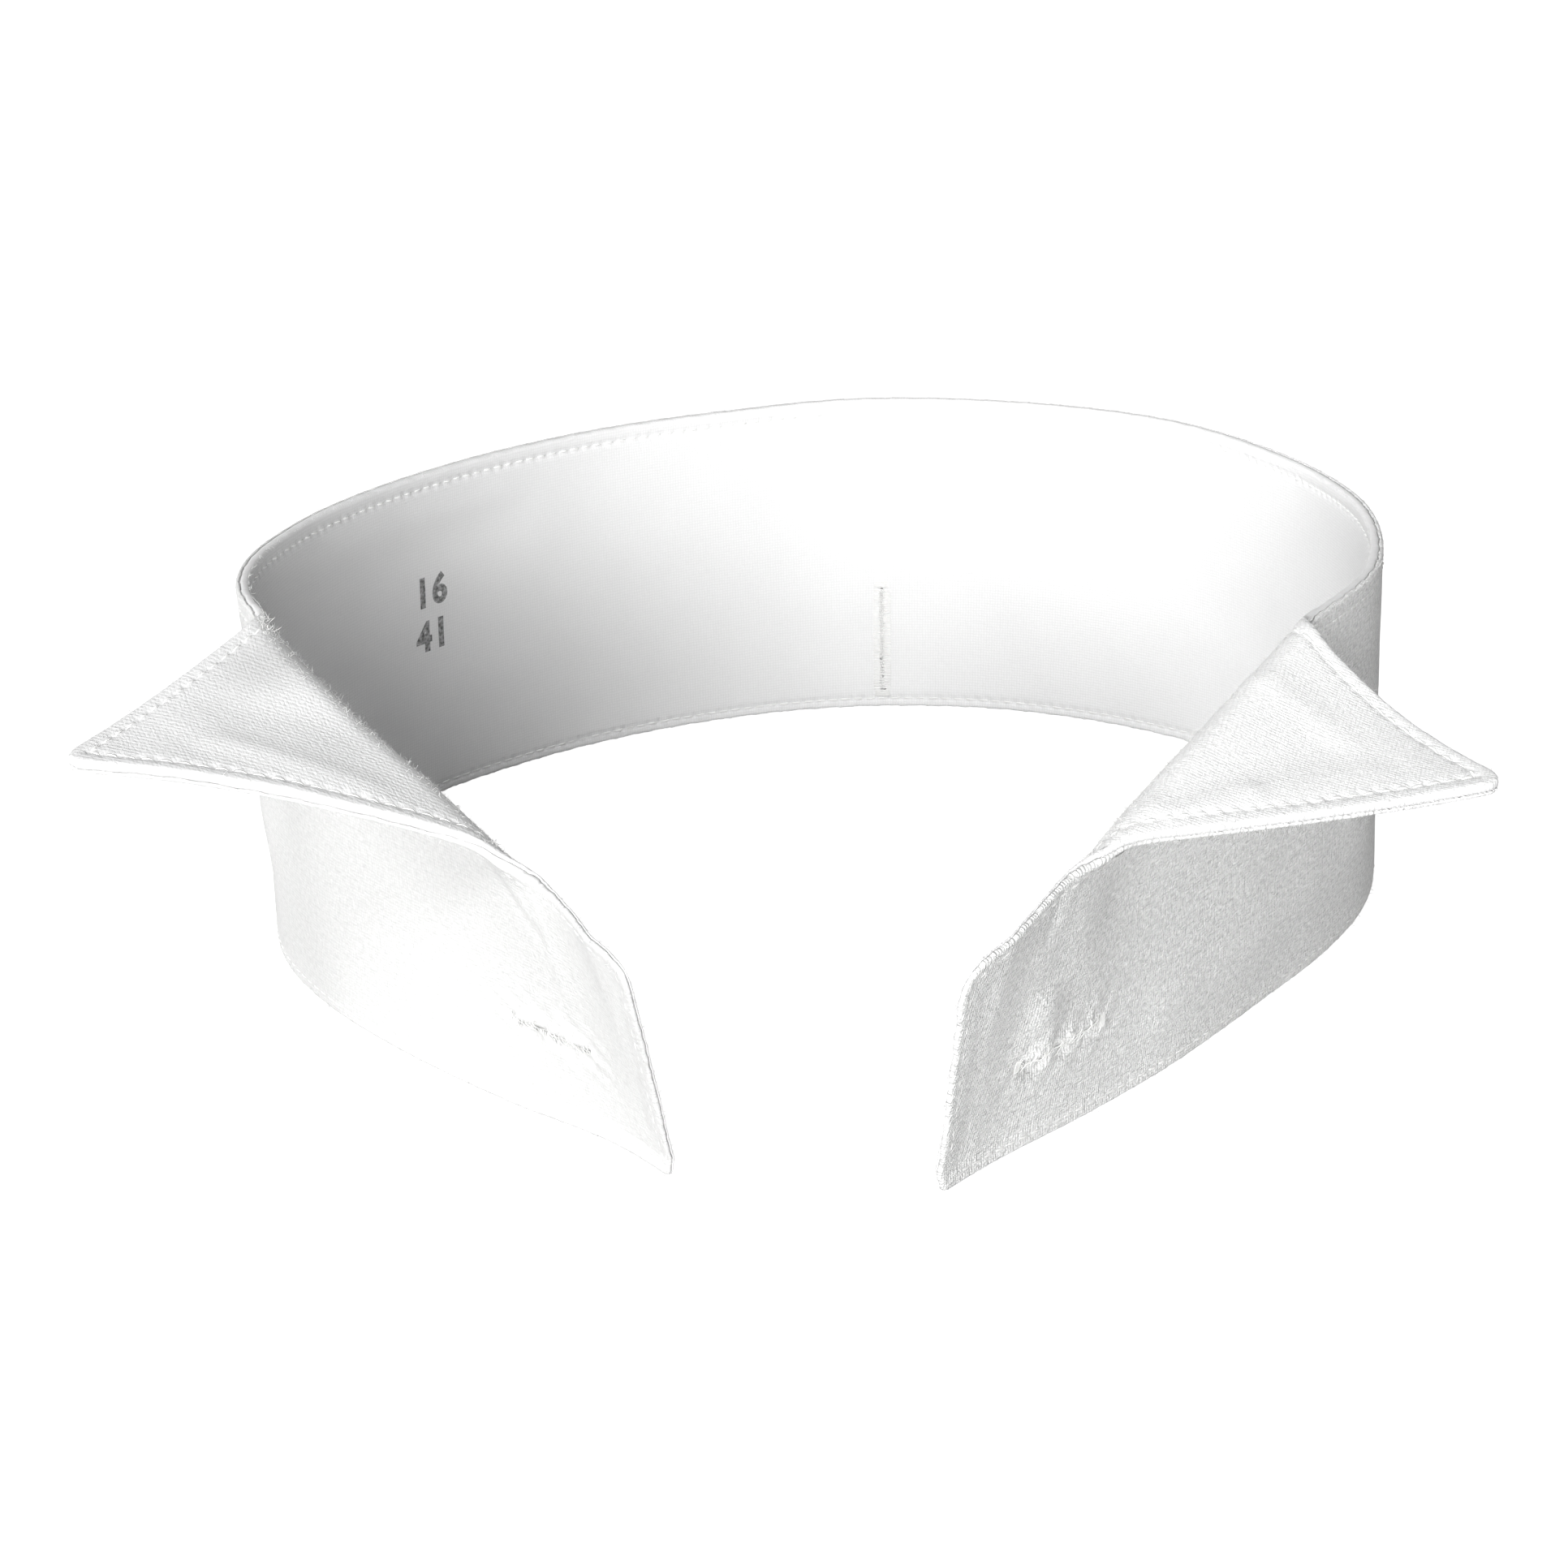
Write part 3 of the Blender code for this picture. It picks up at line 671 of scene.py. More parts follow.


def cotton(name, colour, grain, knots, inside, left):
    """Plain-woven cotton whose weave follows the flat cut. Its knots are the thick bits of thread.

    The grain shows fully on the wings, and by the share called inside on the rest. The share
    called left says how much of it the left half keeps, where the cloth is pressed flatter; the same
    share paints the left half darker, as painted shade that tones down its light. On the left wing the weave
    shows slantwise.
    """
    material, shader = new_material(name, colour, 0.86, sheen=0.08)
    w = Wiring(material)
    place = w.add("ShaderNodeUVMap", uv_map="cut")
    place = w.add("ShaderNodeVectorMath", inputs={0: place, "Scale": CUT_SCALE}, operation="SCALE")
    wobble = w.add("ShaderNodeTexNoise", 1, {"Vector": place, "Scale": 0.9, "Detail": 2.0})
    wobble = w.add("ShaderNodeVectorMath", inputs={0: wobble, 1: (0.5, 0.5, 0.5)}, operation="SUBTRACT")
    wobble = w.add("ShaderNodeVectorMath", inputs={0: wobble, "Scale": 0.35}, operation="SCALE")
    place = w.add("ShaderNodeVectorMath", inputs={0: place, 1: wobble}, operation="ADD")
    u = w.add("ShaderNodeSeparateXYZ", 0, {0: place})
    v = w.add("ShaderNodeSeparateXYZ", 1, {0: place})
    round_from_front = w.sum("SUBTRACT", w.sum("ABSOLUTE", w.sum("SUBTRACT", u, 250.0)), HALF_LENGTH)
    over_fold = w.sum("ADD", w.sum("SUBTRACT", v, 178.4), w.sum("MULTIPLY", round_from_front, 0.309))
    shown = w.add("ShaderNodeMapRange", 0, {0: over_fold, 1: -1.5, 2: 1.5, 3: inside, 4: 1.0})
    across = w.sum("COSINE", w.sum("MULTIPLY", u, np.pi / THREAD_PITCH))
    upward = w.sum("COSINE", w.sum("MULTIPLY", v, np.pi / THREAD_PITCH))
    crossing = w.sum("MULTIPLY", across, upward)
    warp_up = w.sum("GREATER_THAN", crossing, 0.0)
    across, upward = w.sum("ABSOLUTE", across), w.sum("ABSOLUTE", upward)
    warp = w.sum("MULTIPLY", across, w.sum("POWER", upward, 0.35))
    weft = w.sum("MULTIPLY", upward, w.sum("POWER", across, 0.35))
    weave = w.add("ShaderNodeMix", 0, {0: warp_up, 2: weft, 3: warp})
    slant = w.sum("MULTIPLY", w.sum("ADD", round_from_front, v), np.pi / THREAD_PITCH)
    slant = w.sum("MULTIPLY_ADD", w.sum("COSINE", slant), 0.5, 0.5)
    on_wing = w.add("ShaderNodeMapRange", 0, {0: over_fold, 1: -1.5, 2: 1.5, 3: 0.0, 4: 1.0})
    on_left = w.add("ShaderNodeMapRange", 0, {0: u, 1: 230.0, 2: 270.0, 3: 0.6, 4: 0.0})
    on_left = w.sum("MULTIPLY", on_wing, on_left)
    weave = w.add("ShaderNodeMix", 0, {0: on_left, 2: weave, 3: slant})
    slub_u = w.add("ShaderNodeVectorMath", inputs={0: place, 1: (1.1, 2.6, 1.0)}, operation="MULTIPLY")
    slub_v = w.add("ShaderNodeVectorMath", inputs={0: place, 1: (2.6, 1.1, 1.0)}, operation="MULTIPLY")
    slub_u = w.add("ShaderNodeTexNoise", 0, {"Vector": slub_u, "Scale": 1.0, "Detail": 2.0})
    slub_v = w.add("ShaderNodeTexNoise", 0, {"Vector": slub_v, "Scale": 1.0, "Detail": 2.0})
    slub = w.sum("MULTIPLY", w.sum("ADD", slub_u, slub_v), 0.5)
    kept = w.add("ShaderNodeMapRange", 0, {0: u, 1: 190.0, 2: 310.0, 3: left, 4: 1.0})
    slub = w.sum("MULTIPLY", w.sum("SUBTRACT", slub, 0.5), w.sum("MULTIPLY", shown, kept))
    height = w.sum("MULTIPLY", weave, w.sum("MULTIPLY_ADD", shown, 0.6, 0.3))
    height = w.sum("MULTIPLY_ADD", slub, 4.0, w.sum("MULTIPLY", height, kept))
    bump = w.add("ShaderNodeBump", 0, {"Strength": grain, "Distance": 0.0001, "Height": height})
    w.link(bump, shader.inputs["Normal"])
    mottle = w.add("ShaderNodeTexNoise", 0, {"Vector": place, "Scale": 0.045, "Detail": 4.0})
    shade = w.sum("MULTIPLY_ADD", mottle, 0.10, 0.95)
    shade = w.sum("MULTIPLY", shade, w.sum("MULTIPLY_ADD", slub, knots, 1.0))
    shade = w.sum("MULTIPLY", shade, w.sum("MULTIPLY_ADD", weave, 0.10, 0.94))
    # Painted shade: the left half's colour is darkened by the share called left, to tone down how brightly
    # it is lit.
    shade = w.sum("MULTIPLY", shade, w.sum("MULTIPLY_ADD", kept, 0.23, 0.77))
    # The cloth's colour is darker in a round patch by the left fold's back end.
    away = w.add("ShaderNodeVectorMath", 1, {0: place, 1: DARKER_PATCH_PLACE}, operation="DISTANCE")
    darker_patch = w.add("ShaderNodeMapRange", 0, {0: away, 1: 1.0, 2: 9.0, 3: 0.80, 4: 1.0},
                   interpolation_type="SMOOTHSTEP")
    shade = w.sum("MULTIPLY", shade, darker_patch)
    tint = w.add("ShaderNodeVectorMath", inputs={0: colour, "Scale": shade}, operation="SCALE")
    w.link(tint, shader.inputs["Base Color"])
    w.link(w.sum("MULTIPLY_ADD", slub, 0.3, 0.84), shader.inputs["Roughness"])
    return material


def thread(name, colour):
    """Sewing cotton: a pale thread with a faint mottle along it."""
    material, shader = new_material(name, colour, 0.8, sheen=0.1)
    w = Wiring(material)
    place = w.add("ShaderNodeTexCoord", "Object")
    noise = w.add("ShaderNodeTexNoise", 0, {"Vector": place, "Scale": 1800.0, "Detail": 3.0})
    shade = w.sum("MULTIPLY_ADD", noise, 0.2, 0.88)
    tint = w.add("ShaderNodeVectorMath", inputs={0: colour, "Scale": shade}, operation="SCALE")
    w.link(tint, shader.inputs["Base Color"])
    w.link(w.sum("MULTIPLY_ADD", noise, 0.3, 0.6), shader.inputs["Roughness"])
    bump = w.add("ShaderNodeBump", 0, {"Strength": 0.5, "Distance": 0.00006, "Height": noise})
    w.link(bump, shader.inputs["Normal"])
    return material


# The last figure given to each cotton is the share called left, which also sets how much darker the left
# half is painted as shade.
outer_cotton = cotton("outer_collar_cotton", (0.77, 0.77, 0.765), 1.0, 1.3, 1.0, 0.4)
# The inner ply's cotton is a little darker than the outer's: painted shade for the inside of the band and
# the wings, which show the inner ply.
inner_cotton = cotton("inner_collar_cotton", (0.745, 0.745, 0.745), 0.50, 0.5, 0.25, 0.72)
sewing_thread = thread("sewing_thread", (0.77, 0.77, 0.76))
print("materials:", [m.name for m in bpy.data.materials if m.users or m.name.endswith("cotton")])

# %% [markdown]
# ## The two plies
# Each ply is its own piece of cotton. Its shell is the face that shows, the rounded rim, and a
# narrow hem turned in between the plies, as the sewn collar has. Both plies stand on the same
# creased middle surface, one on each side of it.

# %% Sew up a ply's shell
def rim_strips():
    """Rim rows as places, shares of the face's rise, and the faces that join them."""
    places, shares, faces = [], [], []
    count = len(face_places)
    for (points, inward), first in zip(rims, first_rows):
        before = np.array(first)
        for row in RIM_ROWS[1:]:
            now = count + np.arange(len(points))
            places.append(points + inward * (row.inset_mm + ripple(points))[:, None])
            shares.append(np.full(len(points), row.rise_share))
            quads = np.column_stack([before, np.roll(before, -1), np.roll(now, -1), now])
            faces.append(quads)
            before, count = now, count + len(points)
    return np.concatenate(places), np.concatenate(shares), np.concatenate(faces)


rim_places, rim_shares, rim_faces = rim_strips()
ply_places = np.concatenate([face_places, rim_places])
ply_shares = np.concatenate([np.ones(len(face_places)), rim_shares])
seam = seam_share(ply_places) * (1.0 - ply_shares)
middle, outward = stand_up(ply_places)
shared_relief = creased(ply_places) + puckered(ply_places)
ply_rise = {
    layer: face_rise(ply_places, layer) * (ply_shares + layer * seam) for layer in (1, -1)
}


def mesh_from(name, points, faces, cut=None):
    mesh = bpy.data.meshes.new(name)
    mesh.from_pydata(np.asarray(points).tolist(), [], faces)
    if cut is not None:
        corners = np.empty(len(mesh.loops), dtype=int)
        mesh.loops.foreach_get("vertex_index", corners)
        uv = cut[corners] / CUT_SCALE + (0.5, 0.3)
        mesh.uv_layers.new(name="cut").data.foreach_set("uv", uv.ravel())
    mesh.shade_smooth()
    piece = bpy.data.objects.new(name, mesh)
    bpy.context.scene.collection.objects.link(piece)
    return piece


def turn_faces_out(mesh, layer):
    """Make all faces wind the same way, with the face of the ply turned to the open air."""
    shape = bmesh.new()
    shape.from_mesh(mesh)
    bmesh.ops.recalc_face_normals(shape, faces=shape.faces)
    shape.faces.ensure_lookup_table()
    first = shape.faces[0]
    way = Vector(outward[first.verts[0].index] * layer)
    if first.normal.dot(way) < 0:
        bmesh.ops.reverse_faces(shape, faces=shape.faces)
    shape.to_mesh(mesh)
    shape.free()


def sew_ply(name, layer, material):
    points = (middle + outward * (shared_relief + layer * ply_rise[layer])[:, None]) * MM
    ply = mesh_from(name, points, face_triangles.tolist() + rim_faces.tolist(), ply_places)
    turn_faces_out(ply.data, layer)
    ply.data.materials.append(material)
    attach(ply, "root")
    return ply


outer_ply = sew_ply("outer_collar_ply", 1, outer_cotton)
inner_ply = sew_ply("inner_collar_ply", -1, inner_cotton)
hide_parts("outer_ply")
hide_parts("inner_ply")
for ply in (outer_ply, inner_ply):
    print(ply.name, "faces:", len(ply.data.polygons))


# %% [markdown]
# ## Topstitching
# A row of lockstitch runs about 2 mm in from every edge and holds the turned hem down. On the real
# collar each stitch is a short, fat loop of cotton that dives into the cloth at both ends. Each
# is a small tube here, arched over the sunk line that the plies already have.

# %% Spin threads along paths
def spin_threads(name, paths, normals, radii, material, sides=6):
    """Tubes along many paths at once: paths and normals are (threads, points, 3), radii per point."""
    tangent = unit(np.gradient(paths, axis=1))
    across = unit(np.cross(tangent, normals))
    up = np.cross(across, tangent)
    turn = np.linspace(0.0, 2 * np.pi, sides, endpoint=False)[:, None]
    ring = np.cos(turn) * across[:, :, None] + np.sin(turn) * up[:, :, None]
    radii = np.broadcast_to(radii, paths.shape[:2])
    points = paths[:, :, None] + radii[:, :, None, None] * ring
    count, length = paths.shape[:2]
    i, j, k = np.meshgrid(range(count), range(length - 1), range(sides), indexing="ij")
    number = lambda i, j, k: (i * length + j) * sides + k % sides
    faces = [number(i, j, k), number(i, j, k + 1), number(i, j + 1, k + 1), number(i, j + 1, k)]
    faces = np.stack(faces, axis=-1).reshape(-1, 4)
    piece = mesh_from(name, points.reshape(-1, 3) * MM, faces.tolist())
    piece.data.materials.append(material)
    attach(piece, "root")
    return piece


def on_face(cut, layer, lift=0.0):
    """Points on a ply's face at whole-cut places, lifted by some millimetres, and the way out."""
    shape = np.shape(cut)
    flat = np.reshape(cut, (-1, 2))
    place, normal = stand_up(flat)
    height = creased(flat) + puckered(flat) + layer * (face_rise(flat, layer) + np.ravel(lift))
    return (place + normal * height[:, None]).reshape(*shape[:-1], 3), (
        layer * normal.reshape(*shape[:-1], 3)
    )


STITCH_RADIUS = 0.13
STITCH_LIFT = {1: -0.11, -1: -0.12}
ARCH = np.array([-0.16, 0.00, 0.06, 0.09, 0.10, 0.09, 0.06, 0.00, -0.16])


def topstitch(name, layer):
    after = np.roll(holes, -1, axis=0)
    share = np.linspace(0.0, 1.0, len(ARCH))[:, None]
    cut = holes[:, None] * (1 - share) + after[:, None] * share
    chance = np.random.default_rng(3 + layer)
    slack = 1.0 + 0.25 * chance.standard_normal((len(holes), 1))
    at_front = ease((np.abs(cut[..., 0]) - HALF_LENGTH + 6.0) / 4.0)
    lift = ARCH * np.where(ARCH > 0, slack, 1.0) + STITCH_LIFT[layer] - 0.07 * at_front
    paths, normals = on_face(cut, layer, lift)
    radii = STITCH_RADIUS * np.array([0.6, 0.85, 1.0, 1.05, 1.05, 1.05, 1.0, 0.85, 0.6])
    return spin_threads(name, paths, normals, radii, sewing_thread)


outer_topstitch = topstitch("outer_topstitching", 1)
inner_topstitch = topstitch("inner_topstitching", -1)
print("stitches on each face:", len(holes))

# %% [markdown]
# ## Buttonholes
# The three studs pass through worked buttonholes: two lying in the front tabs and one standing at
# the centre back. Each slit is overcast with close stitches side by side, with a bar tack across
# each end. Washing has pulled the front ones ragged, so their stitches differ in length and some
# loose ends stand up.

# %% Work the buttonholes
Buttonhole = namedtuple("Buttonhole", "ends reach_mm pitch_mm ragged proud radius_mm")
BUTTONHOLES = [
    Buttonhole(SLITS[0], 1.25, 0.27, 0.12, -0.25, 0.12),
    Buttonhole(SLITS[1], 1.05, 0.40, 0.90, 0.60, 0.08),
    Buttonhole(SLITS[2], 1.00, 0.40, 0.80, 0.60, 0.07),
]


def overcast(hole, chance):
    """Paths of the stitches that bind one slit, as whole-cut places and lifts. Some have worn off."""
    along = unit(hole.ends[1] - hole.ends[0])
    across = np.array([-along[1], along[0]])
    length = np.linalg.norm(hole.ends[1] - hole.ends[0])
    cuts, lifts = [], []
    reach = np.array([-0.20, 0.0, 0.18, 0.45, 0.75, 1.0])
    lift = np.array([0.02, 0.10, 0.14, 0.15, 0.08, -0.14]) * hole.proud
    for side in (1, -1):
        for s in np.arange(0.1, length, hole.pitch_mm):
            ragged = hole.ragged * chance.standard_normal(4)
            if chance.random() < 0.35 * hole.ragged:
                continue
            far = hole.reach_mm * np.clip(1.0 + 0.30 * ragged[0], 0.35, 1.6)
            slant = 0.45 * ragged[1]
            start = hole.ends[0] + along * (s + 0.12 * ragged[2])
            steps = SLIT_HALF * 0.85 + reach * far
            cuts.append(start + side * steps[:, None] * across + (slant * reach)[:, None] * along)
            lifts.append(lift * (1.0 + 0.5 * ragged[3]) + 0.05 * abs(ragged[2]) * (reach > 0))
    return cuts, lifts


def bar_tacks(hole):
    """Short stitches laid across both ends of a slit."""
    along = unit(hole.ends[1] - hole.ends[0])
    across = np.array([-along[1], along[0]])
    cuts, lifts = [], []
    share = np.linspace(-1.0, 1.0, 6)
    for end, way in ((hole.ends[0], -1), (hole.ends[1], 1)):
        for k in range(5):
            middle_place = end + way * along * (0.30 + 0.20 * k)
            cuts.append(middle_place + share[:, None] * across * hole.reach_mm)
            lifts.append(np.array([-0.12, 0.08, 0.13, 0.13, 0.08, -0.12]) * abs(hole.proud))
    return cuts, lifts


def work_buttonholes(name, layer):
    chance = np.random.default_rng(11 + layer)
    cuts, lifts, radii = [], [], []
    for hole in BUTTONHOLES:
        for made in (overcast(hole, chance), bar_tacks(hole)):
            cuts += made[0]
            lifts += made[1]
            radii += [hole.radius_mm] * len(made[0])
    paths, normals = on_face(np.array(cuts), layer, np.array(lifts))
    taper = np.array(radii)[:, None] * np.array([0.8, 1.0, 1.0, 1.0, 0.9, 0.6])
    return spin_threads(name, paths, normals, taper, sewing_thread), len(cuts)


outer_buttonholes, worked = work_buttonholes("outer_buttonhole_stitching", 1)
inner_buttonholes, worked = work_buttonholes("inner_buttonhole_stitching", -1)
print("buttonhole stitches on each face:", worked)

# %% [markdown]
# ## Frayed ends and nap
# Old cotton is never quite clean-edged: short fibres stand out along every edge and fold, and the
# front buttonholes and the left corner have frayed. A fibre is a thin bent tube that tapers off.

# %% Loose fibres
def bend_fibres(roots, ways, lengths, chance, bends=5):
    """Paths of loose fibres that leave their roots along given ways and wander."""
    paths = [roots]
    way = unit(ways)
    for _ in range(bends):
        way = unit(way + 0.45 * chance.standard_normal(way.shape))
        paths.append(paths[-1] + way * (lengths / bends)[:, None])
    return np.stack(paths, axis=1)


def above_floor(paths):
    """Which fibres stay above the floor the collar stands on."""
    return paths[..., 2].min(axis=1) > 0.03


def edge_nap(name, layer, spacing=0.42):
    """Fine fibres round the outline and along the folds of one face."""
    chance = np.random.default_rng(21 + layer)
    marks = even_steps(OUTLINE, spacing)[0]
    marks = marks + chance.uniform(-0.2, 0.2, marks.shape)
    folds = []
    for half in (RIGHT, LEFT):
        t = chance.uniform(0.0, 1.0, 900 if layer < 0 else 200)[:, None]
        flat = np.array(half.fold.back) * (1 - t) + np.array(half.fold.front) * t
        flat = flat + chance.uniform(-2.2, 2.2, flat.shape)
        folds.append(np.column_stack([half.side * (flat[:, 0] + HALF_LENGTH), flat[:, 1]]))
    marks = np.concatenate([marks, *folds])
    marks = marks[from_edge(marks) > 0.02]
    roots, normals = on_face(marks, layer, np.full(len(marks), -0.05))
    side = unit(np.cross(normals, chance.standard_normal(normals.shape)))
    ways = normals * chance.uniform(0.1, 1.0, (len(marks), 1)) + side
    lengths = chance.uniform(0.3, 1.0, len(marks))
    paths = bend_fibres(roots, ways, lengths, chance)
    kept = above_floor(paths)
    paths, normals = paths[kept], np.repeat(normals[kept, None], 6, axis=1)
    radii = 0.026 * np.array([1.0, 1.0, 0.9, 0.8, 0.6, 0.2])
    return spin_threads(name, paths, normals, radii, fine_fibre, 3)


Fray = namedtuple("Fray", "side place spread_mm count length_mm radius_mm")
FRAYS = [
    Fray(1, (-18.0, 13.6), (7.0, 0.9), 60, 1.2, 0.035),
    Fray(-1, (-17.0, 13.6), (7.0, 0.8), 50, 1.2, 0.035),
    Fray(-1, (-68.5, 50.0), (1.6, 0.5), 30, 1.8, 0.035),
    Fray(1, (-65.0, 50.0), (1.4, 0.5), 8, 0.9, 0.03),
    Fray(-1, (-20.0, 33.5), (2.5, 1.2), 14, 1.1, 0.03),
    Fray(1, (-16.0, 36.5), (2.5, 1.0), 14, 0.9, 0.03),
]


def frayed_ends(name, layer):
    chance = np.random.default_rng(31 + layer)
    places, ways, lengths, radii = [], [], [], []
    for fray in FRAYS:
        spread = chance.uniform(-1.0, 1.0, (fray.count, 2)) * fray.spread_mm
        flat = np.array(fray.place) + spread
        places.append(np.column_stack([fray.side * (flat[:, 0] + HALF_LENGTH), flat[:, 1]]))
        lengths.append(fray.length_mm * chance.uniform(0.4, 1.0, fray.count))
        radii.append(np.full(fray.count, fray.radius_mm))
    places, lengths, radii = map(np.concatenate, (places, lengths, radii))
    kept = from_edge(places) > 0.0
    places, lengths, radii = places[kept], lengths[kept], radii[kept]
    roots, normals = on_face(places, layer, np.full(len(places), -0.1))
    side = unit(np.cross(normals, chance.standard_normal(normals.shape)))
    paths = bend_fibres(roots, normals * 0.45 + side, lengths, chance)
    taper = radii[:, None] * np.array([1.0, 1.0, 0.95, 0.85, 0.7, 0.3])
    return spin_threads(name, paths, np.repeat(normals[:, None], 6, axis=1), taper, sewing_thread, 5)


fine_fibre = thread("fine_fibre", (0.80, 0.80, 0.79))
outer_nap = edge_nap("outer_edge_nap", 1)
inner_nap = edge_nap("inner_edge_nap", -1)
outer_fray = frayed_ends("outer_frayed_ends", 1)
inner_fray = frayed_ends("inner_frayed_ends", -1)
print("nap faces:", len(outer_nap.data.polygons) + len(inner_nap.data.polygons))

# %% [markdown]
# ## Size numbers
# Collars are stamped inside with their size. The numbers are plain: the neck size in inches over
# the size in centimetres. They start as a text object, are cut into small faces, and are then laid
# on the inner ply through the same flat cut, as thin as ink.

# %% Stamp the numbers
Stamp = namedtuple("Stamp", "words place height_mm")
STAMPS = [Stamp("16", (-79.5, 32.0), 4.3), Stamp("41", (-79.5, 25.2), 4.3)]
INK_LIFT = 0.035


def ink():
    """Grey-black marking ink, worn thin where the threads stand up."""
    material, shader = new_material("marking_ink", (0.16, 0.16, 0.17), 0.8)
    w = Wiring(material)
    place = w.add("ShaderNodeUVMap", uv_map="cut")
    place = w.add("ShaderNodeVectorMath", inputs={0: place, "Scale": CUT_SCALE}, operation="SCALE")
    noise = w.add("ShaderNodeTexNoise", 0, {"Vector": place, "Scale": 1.6, "Detail": 4.0})
    ramp = w.add("ShaderNodeMapRange", 0, {0: noise, 1: 0.35, 2: 0.7, 3: 0.10, 4: 0.42})
    tint = w.add("ShaderNodeCombineXYZ", 0, {0: ramp, 1: ramp, 2: ramp})
    w.link(tint, shader.inputs["Base Color"])
    w.link(w.sum("MULTIPLY_ADD", noise, 0.2, 0.7), shader.inputs["Roughness"])
    bump = w.add("ShaderNodeBump", 0, {"Strength": 0.4, "Distance": 0.0001, "Height": noise})
    w.link(bump, shader.inputs["Normal"])
    return material


def flat_number(stamp):
    """Outline of a stamped number as a finely divided flat mesh, in whole-cut millimetres."""
    curve = bpy.data.curves.new("number", "FONT")
    curve.body, curve.size = stamp.words, stamp.height_mm / 0.7
    curve.align_x, curve.align_y, curve.space_character = "CENTER", "CENTER", 1.15
    curve.resolution_u, curve.offset = 6, 0.25
    text = bpy.data.objects.new("number", curve)
    bpy.context.scene.collection.objects.link(text)
    seen = text.evaluated_get(bpy.context.evaluated_depsgraph_get())
    shape = bmesh.new()
    shape.from_mesh(bpy.data.meshes.new_from_object(seen))
    bpy.data.objects.remove(text)
    low, high = -12.0, 12.0
    for axis, way in ((0, (1, 0, 0)), (1, (0, 1, 0))):
        for s in np.arange(low, high, 0.5):
            spot = [0.0, 0.0, 0.0]
            spot[axis] = s
            parts = shape.verts[:] + shape.edges[:] + shape.faces[:]
            bmesh.ops.bisect_plane(shape, geom=parts, plane_co=spot, plane_no=way)
    points = np.array([v.co[:2] for v in shape.verts]) + stamp.place
    faces = [[v.index for v in f.verts] for f in shape.faces]
    shape.free()
    return points, faces


def stamp_numbers():
    places, faces = [], []
    for stamp in STAMPS:
        start = sum(len(p) for p in places)
        points, made = flat_number(stamp)
        places.append(points)
        faces += [[start + i for i in face] for face in made]
    cut = np.concatenate(places)
    points = on_face(cut, -1, np.full(len(cut), INK_LIFT))[0]
    piece = mesh_from("size_numbers", points * MM, faces, cut)
    piece.data.materials.append(ink())
    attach(piece, "root")
    return piece


size_numbers = stamp_numbers()
print("number faces:", len(size_numbers.data.polygons))

# %% [markdown]
# ## Camera, floor and light
# The camera stands where the photograph was taken from. Two big soft lights stand a little to the
# left, one low and one high, and weaker ones fill in from the front, the sides and behind. So the
# inside of the right half and the outside of the left half are bright, and faces turned right grey.

# %% Camera
CAMERA_PLACE = (0.00340, -0.34167, 0.15613)
CAMERA_YAW, CAMERA_PITCH, CAMERA_ROLL = -0.01669, 0.37882, -0.01703
CAMERA_LENS = 64.14


def aim_camera():
    yaw, pitch, roll = CAMERA_YAW, CAMERA_PITCH, CAMERA_ROLL
    ahead = np.array((np.sin(yaw) * np.cos(pitch), np.cos(yaw) * np.cos(pitch), -np.sin(pitch)))
    level = np.array((np.cos(yaw), -np.sin(yaw), 0.0))
    upright = np.cross(level, ahead)
    right = np.cos(roll) * level + np.sin(roll) * upright
    up = -np.sin(roll) * level + np.cos(roll) * upright
    camera = bpy.data.objects.new("camera", bpy.data.cameras.new("camera"))
    camera.data.sensor_width, camera.data.lens = 36.0, CAMERA_LENS
    camera.data.clip_start, camera.data.clip_end = 0.01, 50.0
    turn = Matrix((right, up, -ahead)).transposed().to_4x4()
    camera.matrix_world = Matrix.Translation(CAMERA_PLACE) @ turn
    bpy.context.scene.collection.objects.link(camera)
    bpy.context.scene.camera = camera
    return camera


camera = aim_camera()
print("camera lens:", camera.data.lens)

# %% Floor and light
def stage_sheet(name, points, faces, colour, glow):
    sheet = mesh_from(name, points, faces)
    material, shader = new_material(name, (colour,) * 3, 0.9)
    shader.inputs["Emission Color"].default_value = (1.0, 1.0, 1.0, 1.0)
    shader.inputs["Emission Strength"].default_value = glow
    sheet.data.materials.append(material)
    return sheet


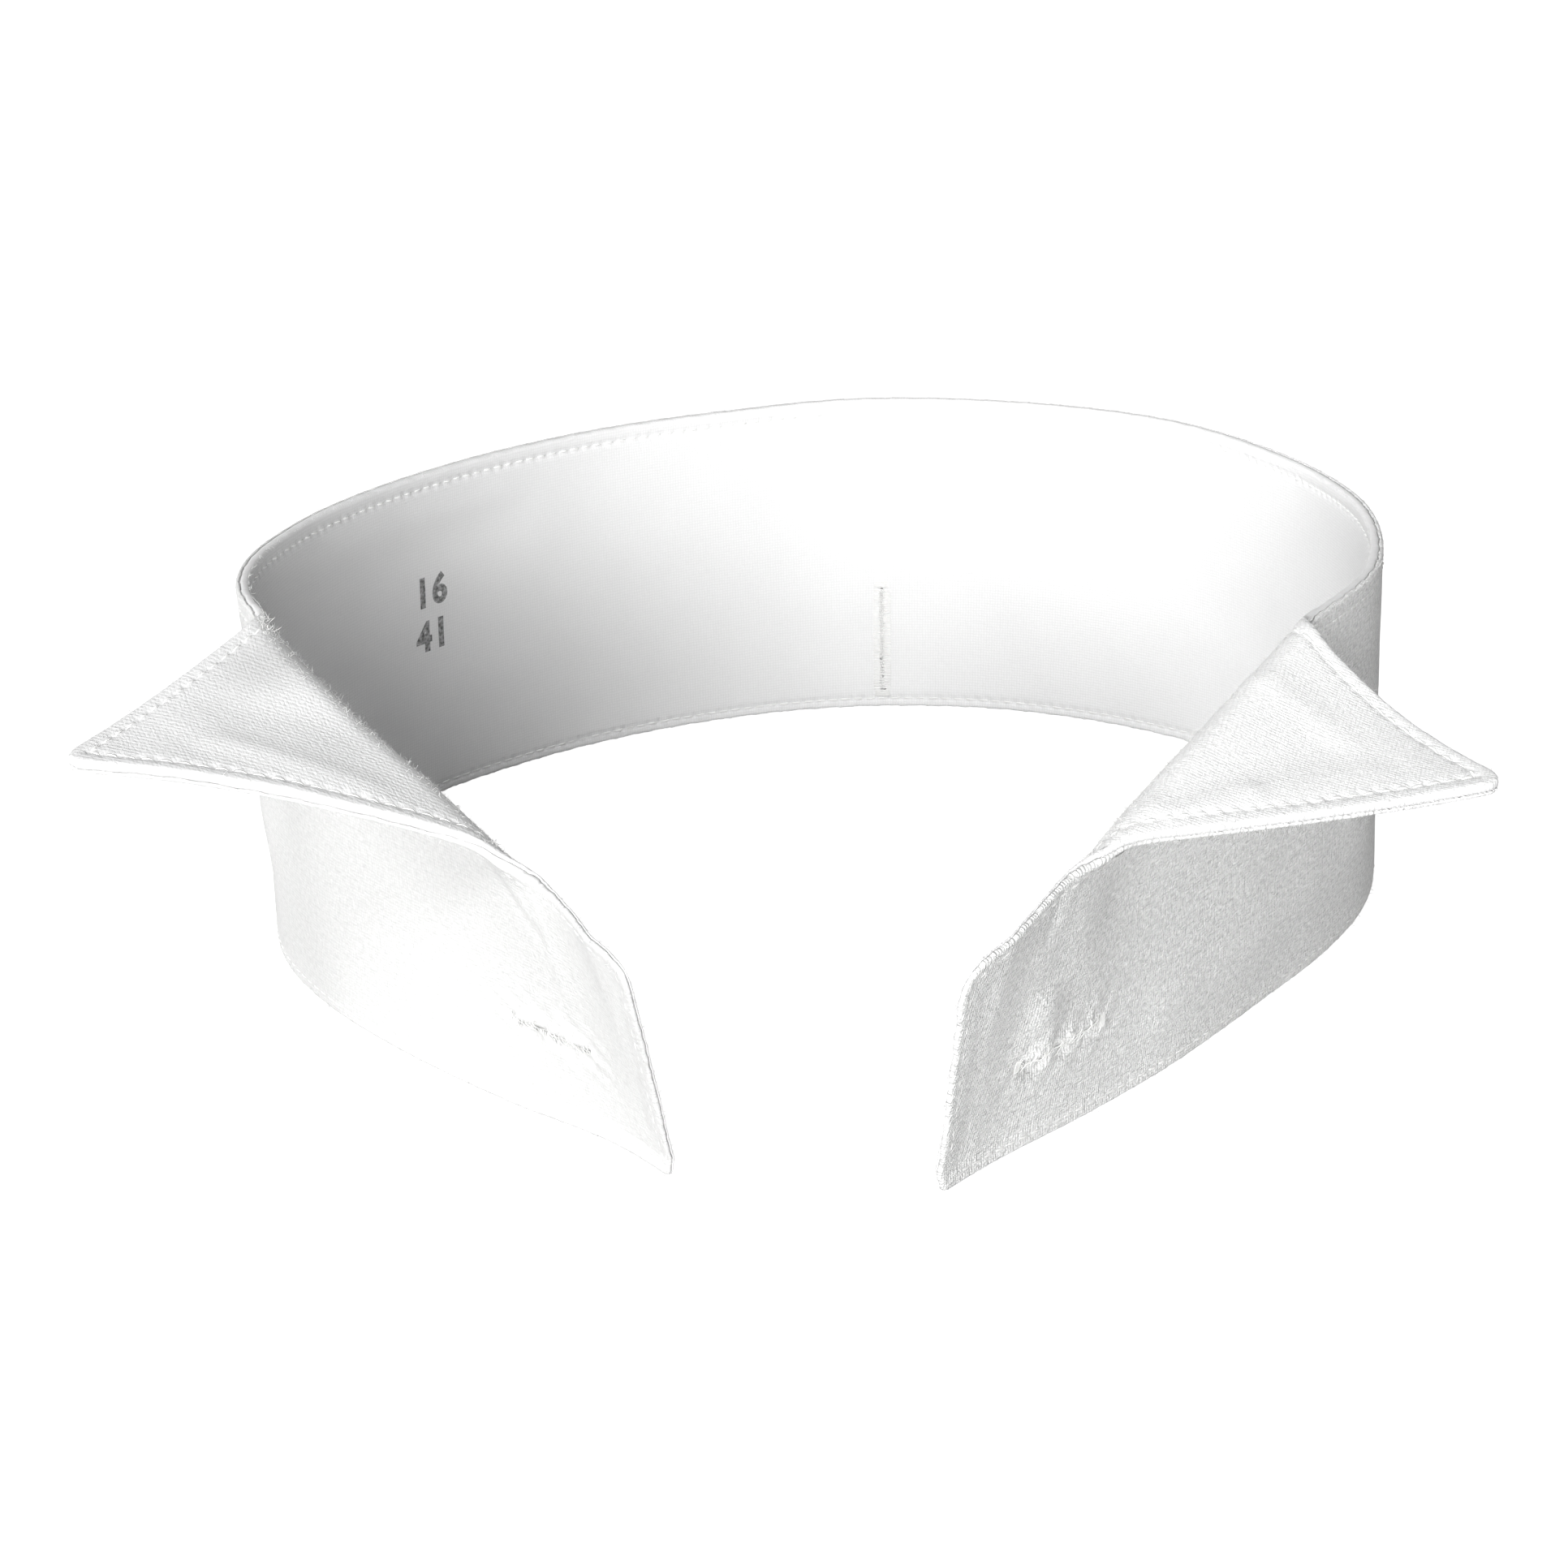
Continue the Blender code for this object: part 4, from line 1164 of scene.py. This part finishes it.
def pale_stage():
    """A pale floor and wall that the camera sees, over a greyer floor that throws light back."""
    corners = np.array([(-6.0, -6.0), (6.0, -6.0), (6.0, 6.0), (-6.0, 6.0)])
    at_height = lambda z: np.column_stack([corners, np.full(4, z)])
    seen = stage_sheet("pale_floor", at_height(-0.0002), [(0, 1, 2, 3)], 0.20, 1.0)
    sides = [(i, (i + 1) % 4, 4 + (i + 1) % 4, 4 + i) for i in range(4)]
    wall = stage_sheet("pale_wall", np.vstack([at_height(-0.1), at_height(9.0)]), sides, 0.20, 1.0)
    for sheet in (seen, wall):
        sheet.visible_diffuse = sheet.visible_glossy = sheet.visible_shadow = False
    under = stage_sheet("bounce_floor", at_height(-0.0006), [(0, 1, 2, 3)], 0.43, 0.0)
    under.visible_camera = False


def soft_light(name, azimuth_deg, height_deg, distance, size, power):
    """A round soft light, aimed at the collar. Azimuth is from the front, toward the right."""
    azimuth, height = np.radians((azimuth_deg, height_deg))
    way = Vector((np.sin(azimuth) * np.cos(height), -np.cos(azimuth) * np.cos(height), np.sin(height)))
    lamp = bpy.data.objects.new(name, bpy.data.lights.new(name, "AREA"))
    lamp.data.shape, lamp.data.size, lamp.data.energy = "DISK", size, power
    lamp.location = way * distance
    lamp.rotation_mode = "QUATERNION"
    lamp.rotation_quaternion = (-way).to_track_quat("-Z", "Y")
    bpy.context.scene.collection.objects.link(lamp)
    return lamp


pale_stage()
soft_light("high_light", -25.0, 55.0, 1.6, 0.6, 12.5)
soft_light("key_light", -25.0, 12.0, 1.6, 0.6, 15.5)
soft_light("front_light", 0.0, 12.0, 1.6, 0.6, 16.5)
soft_light("left_light", -100.0, 32.0, 1.6, 0.6, 8.5)
soft_light("right_light", 50.0, 12.0, 1.6, 0.6, 4.8)
soft_light("back_light", 180.0, 10.0, 1.6, 0.6, 5.0)
world = bpy.data.worlds.new("pale_surround")
bpy.context.scene.world = world
world.use_nodes = True
world.node_tree.nodes["Background"].inputs["Color"].default_value = (1.0, 1.0, 1.0, 1.0)
world.node_tree.nodes["Background"].inputs["Strength"].default_value = 0.04
bpy.context.scene.view_settings.view_transform = "Standard"

# %% [markdown]
# Last, the flat cut's area is kept as a plain number, which tells how much cloth a ply takes.

cut_area = float(cut_area)
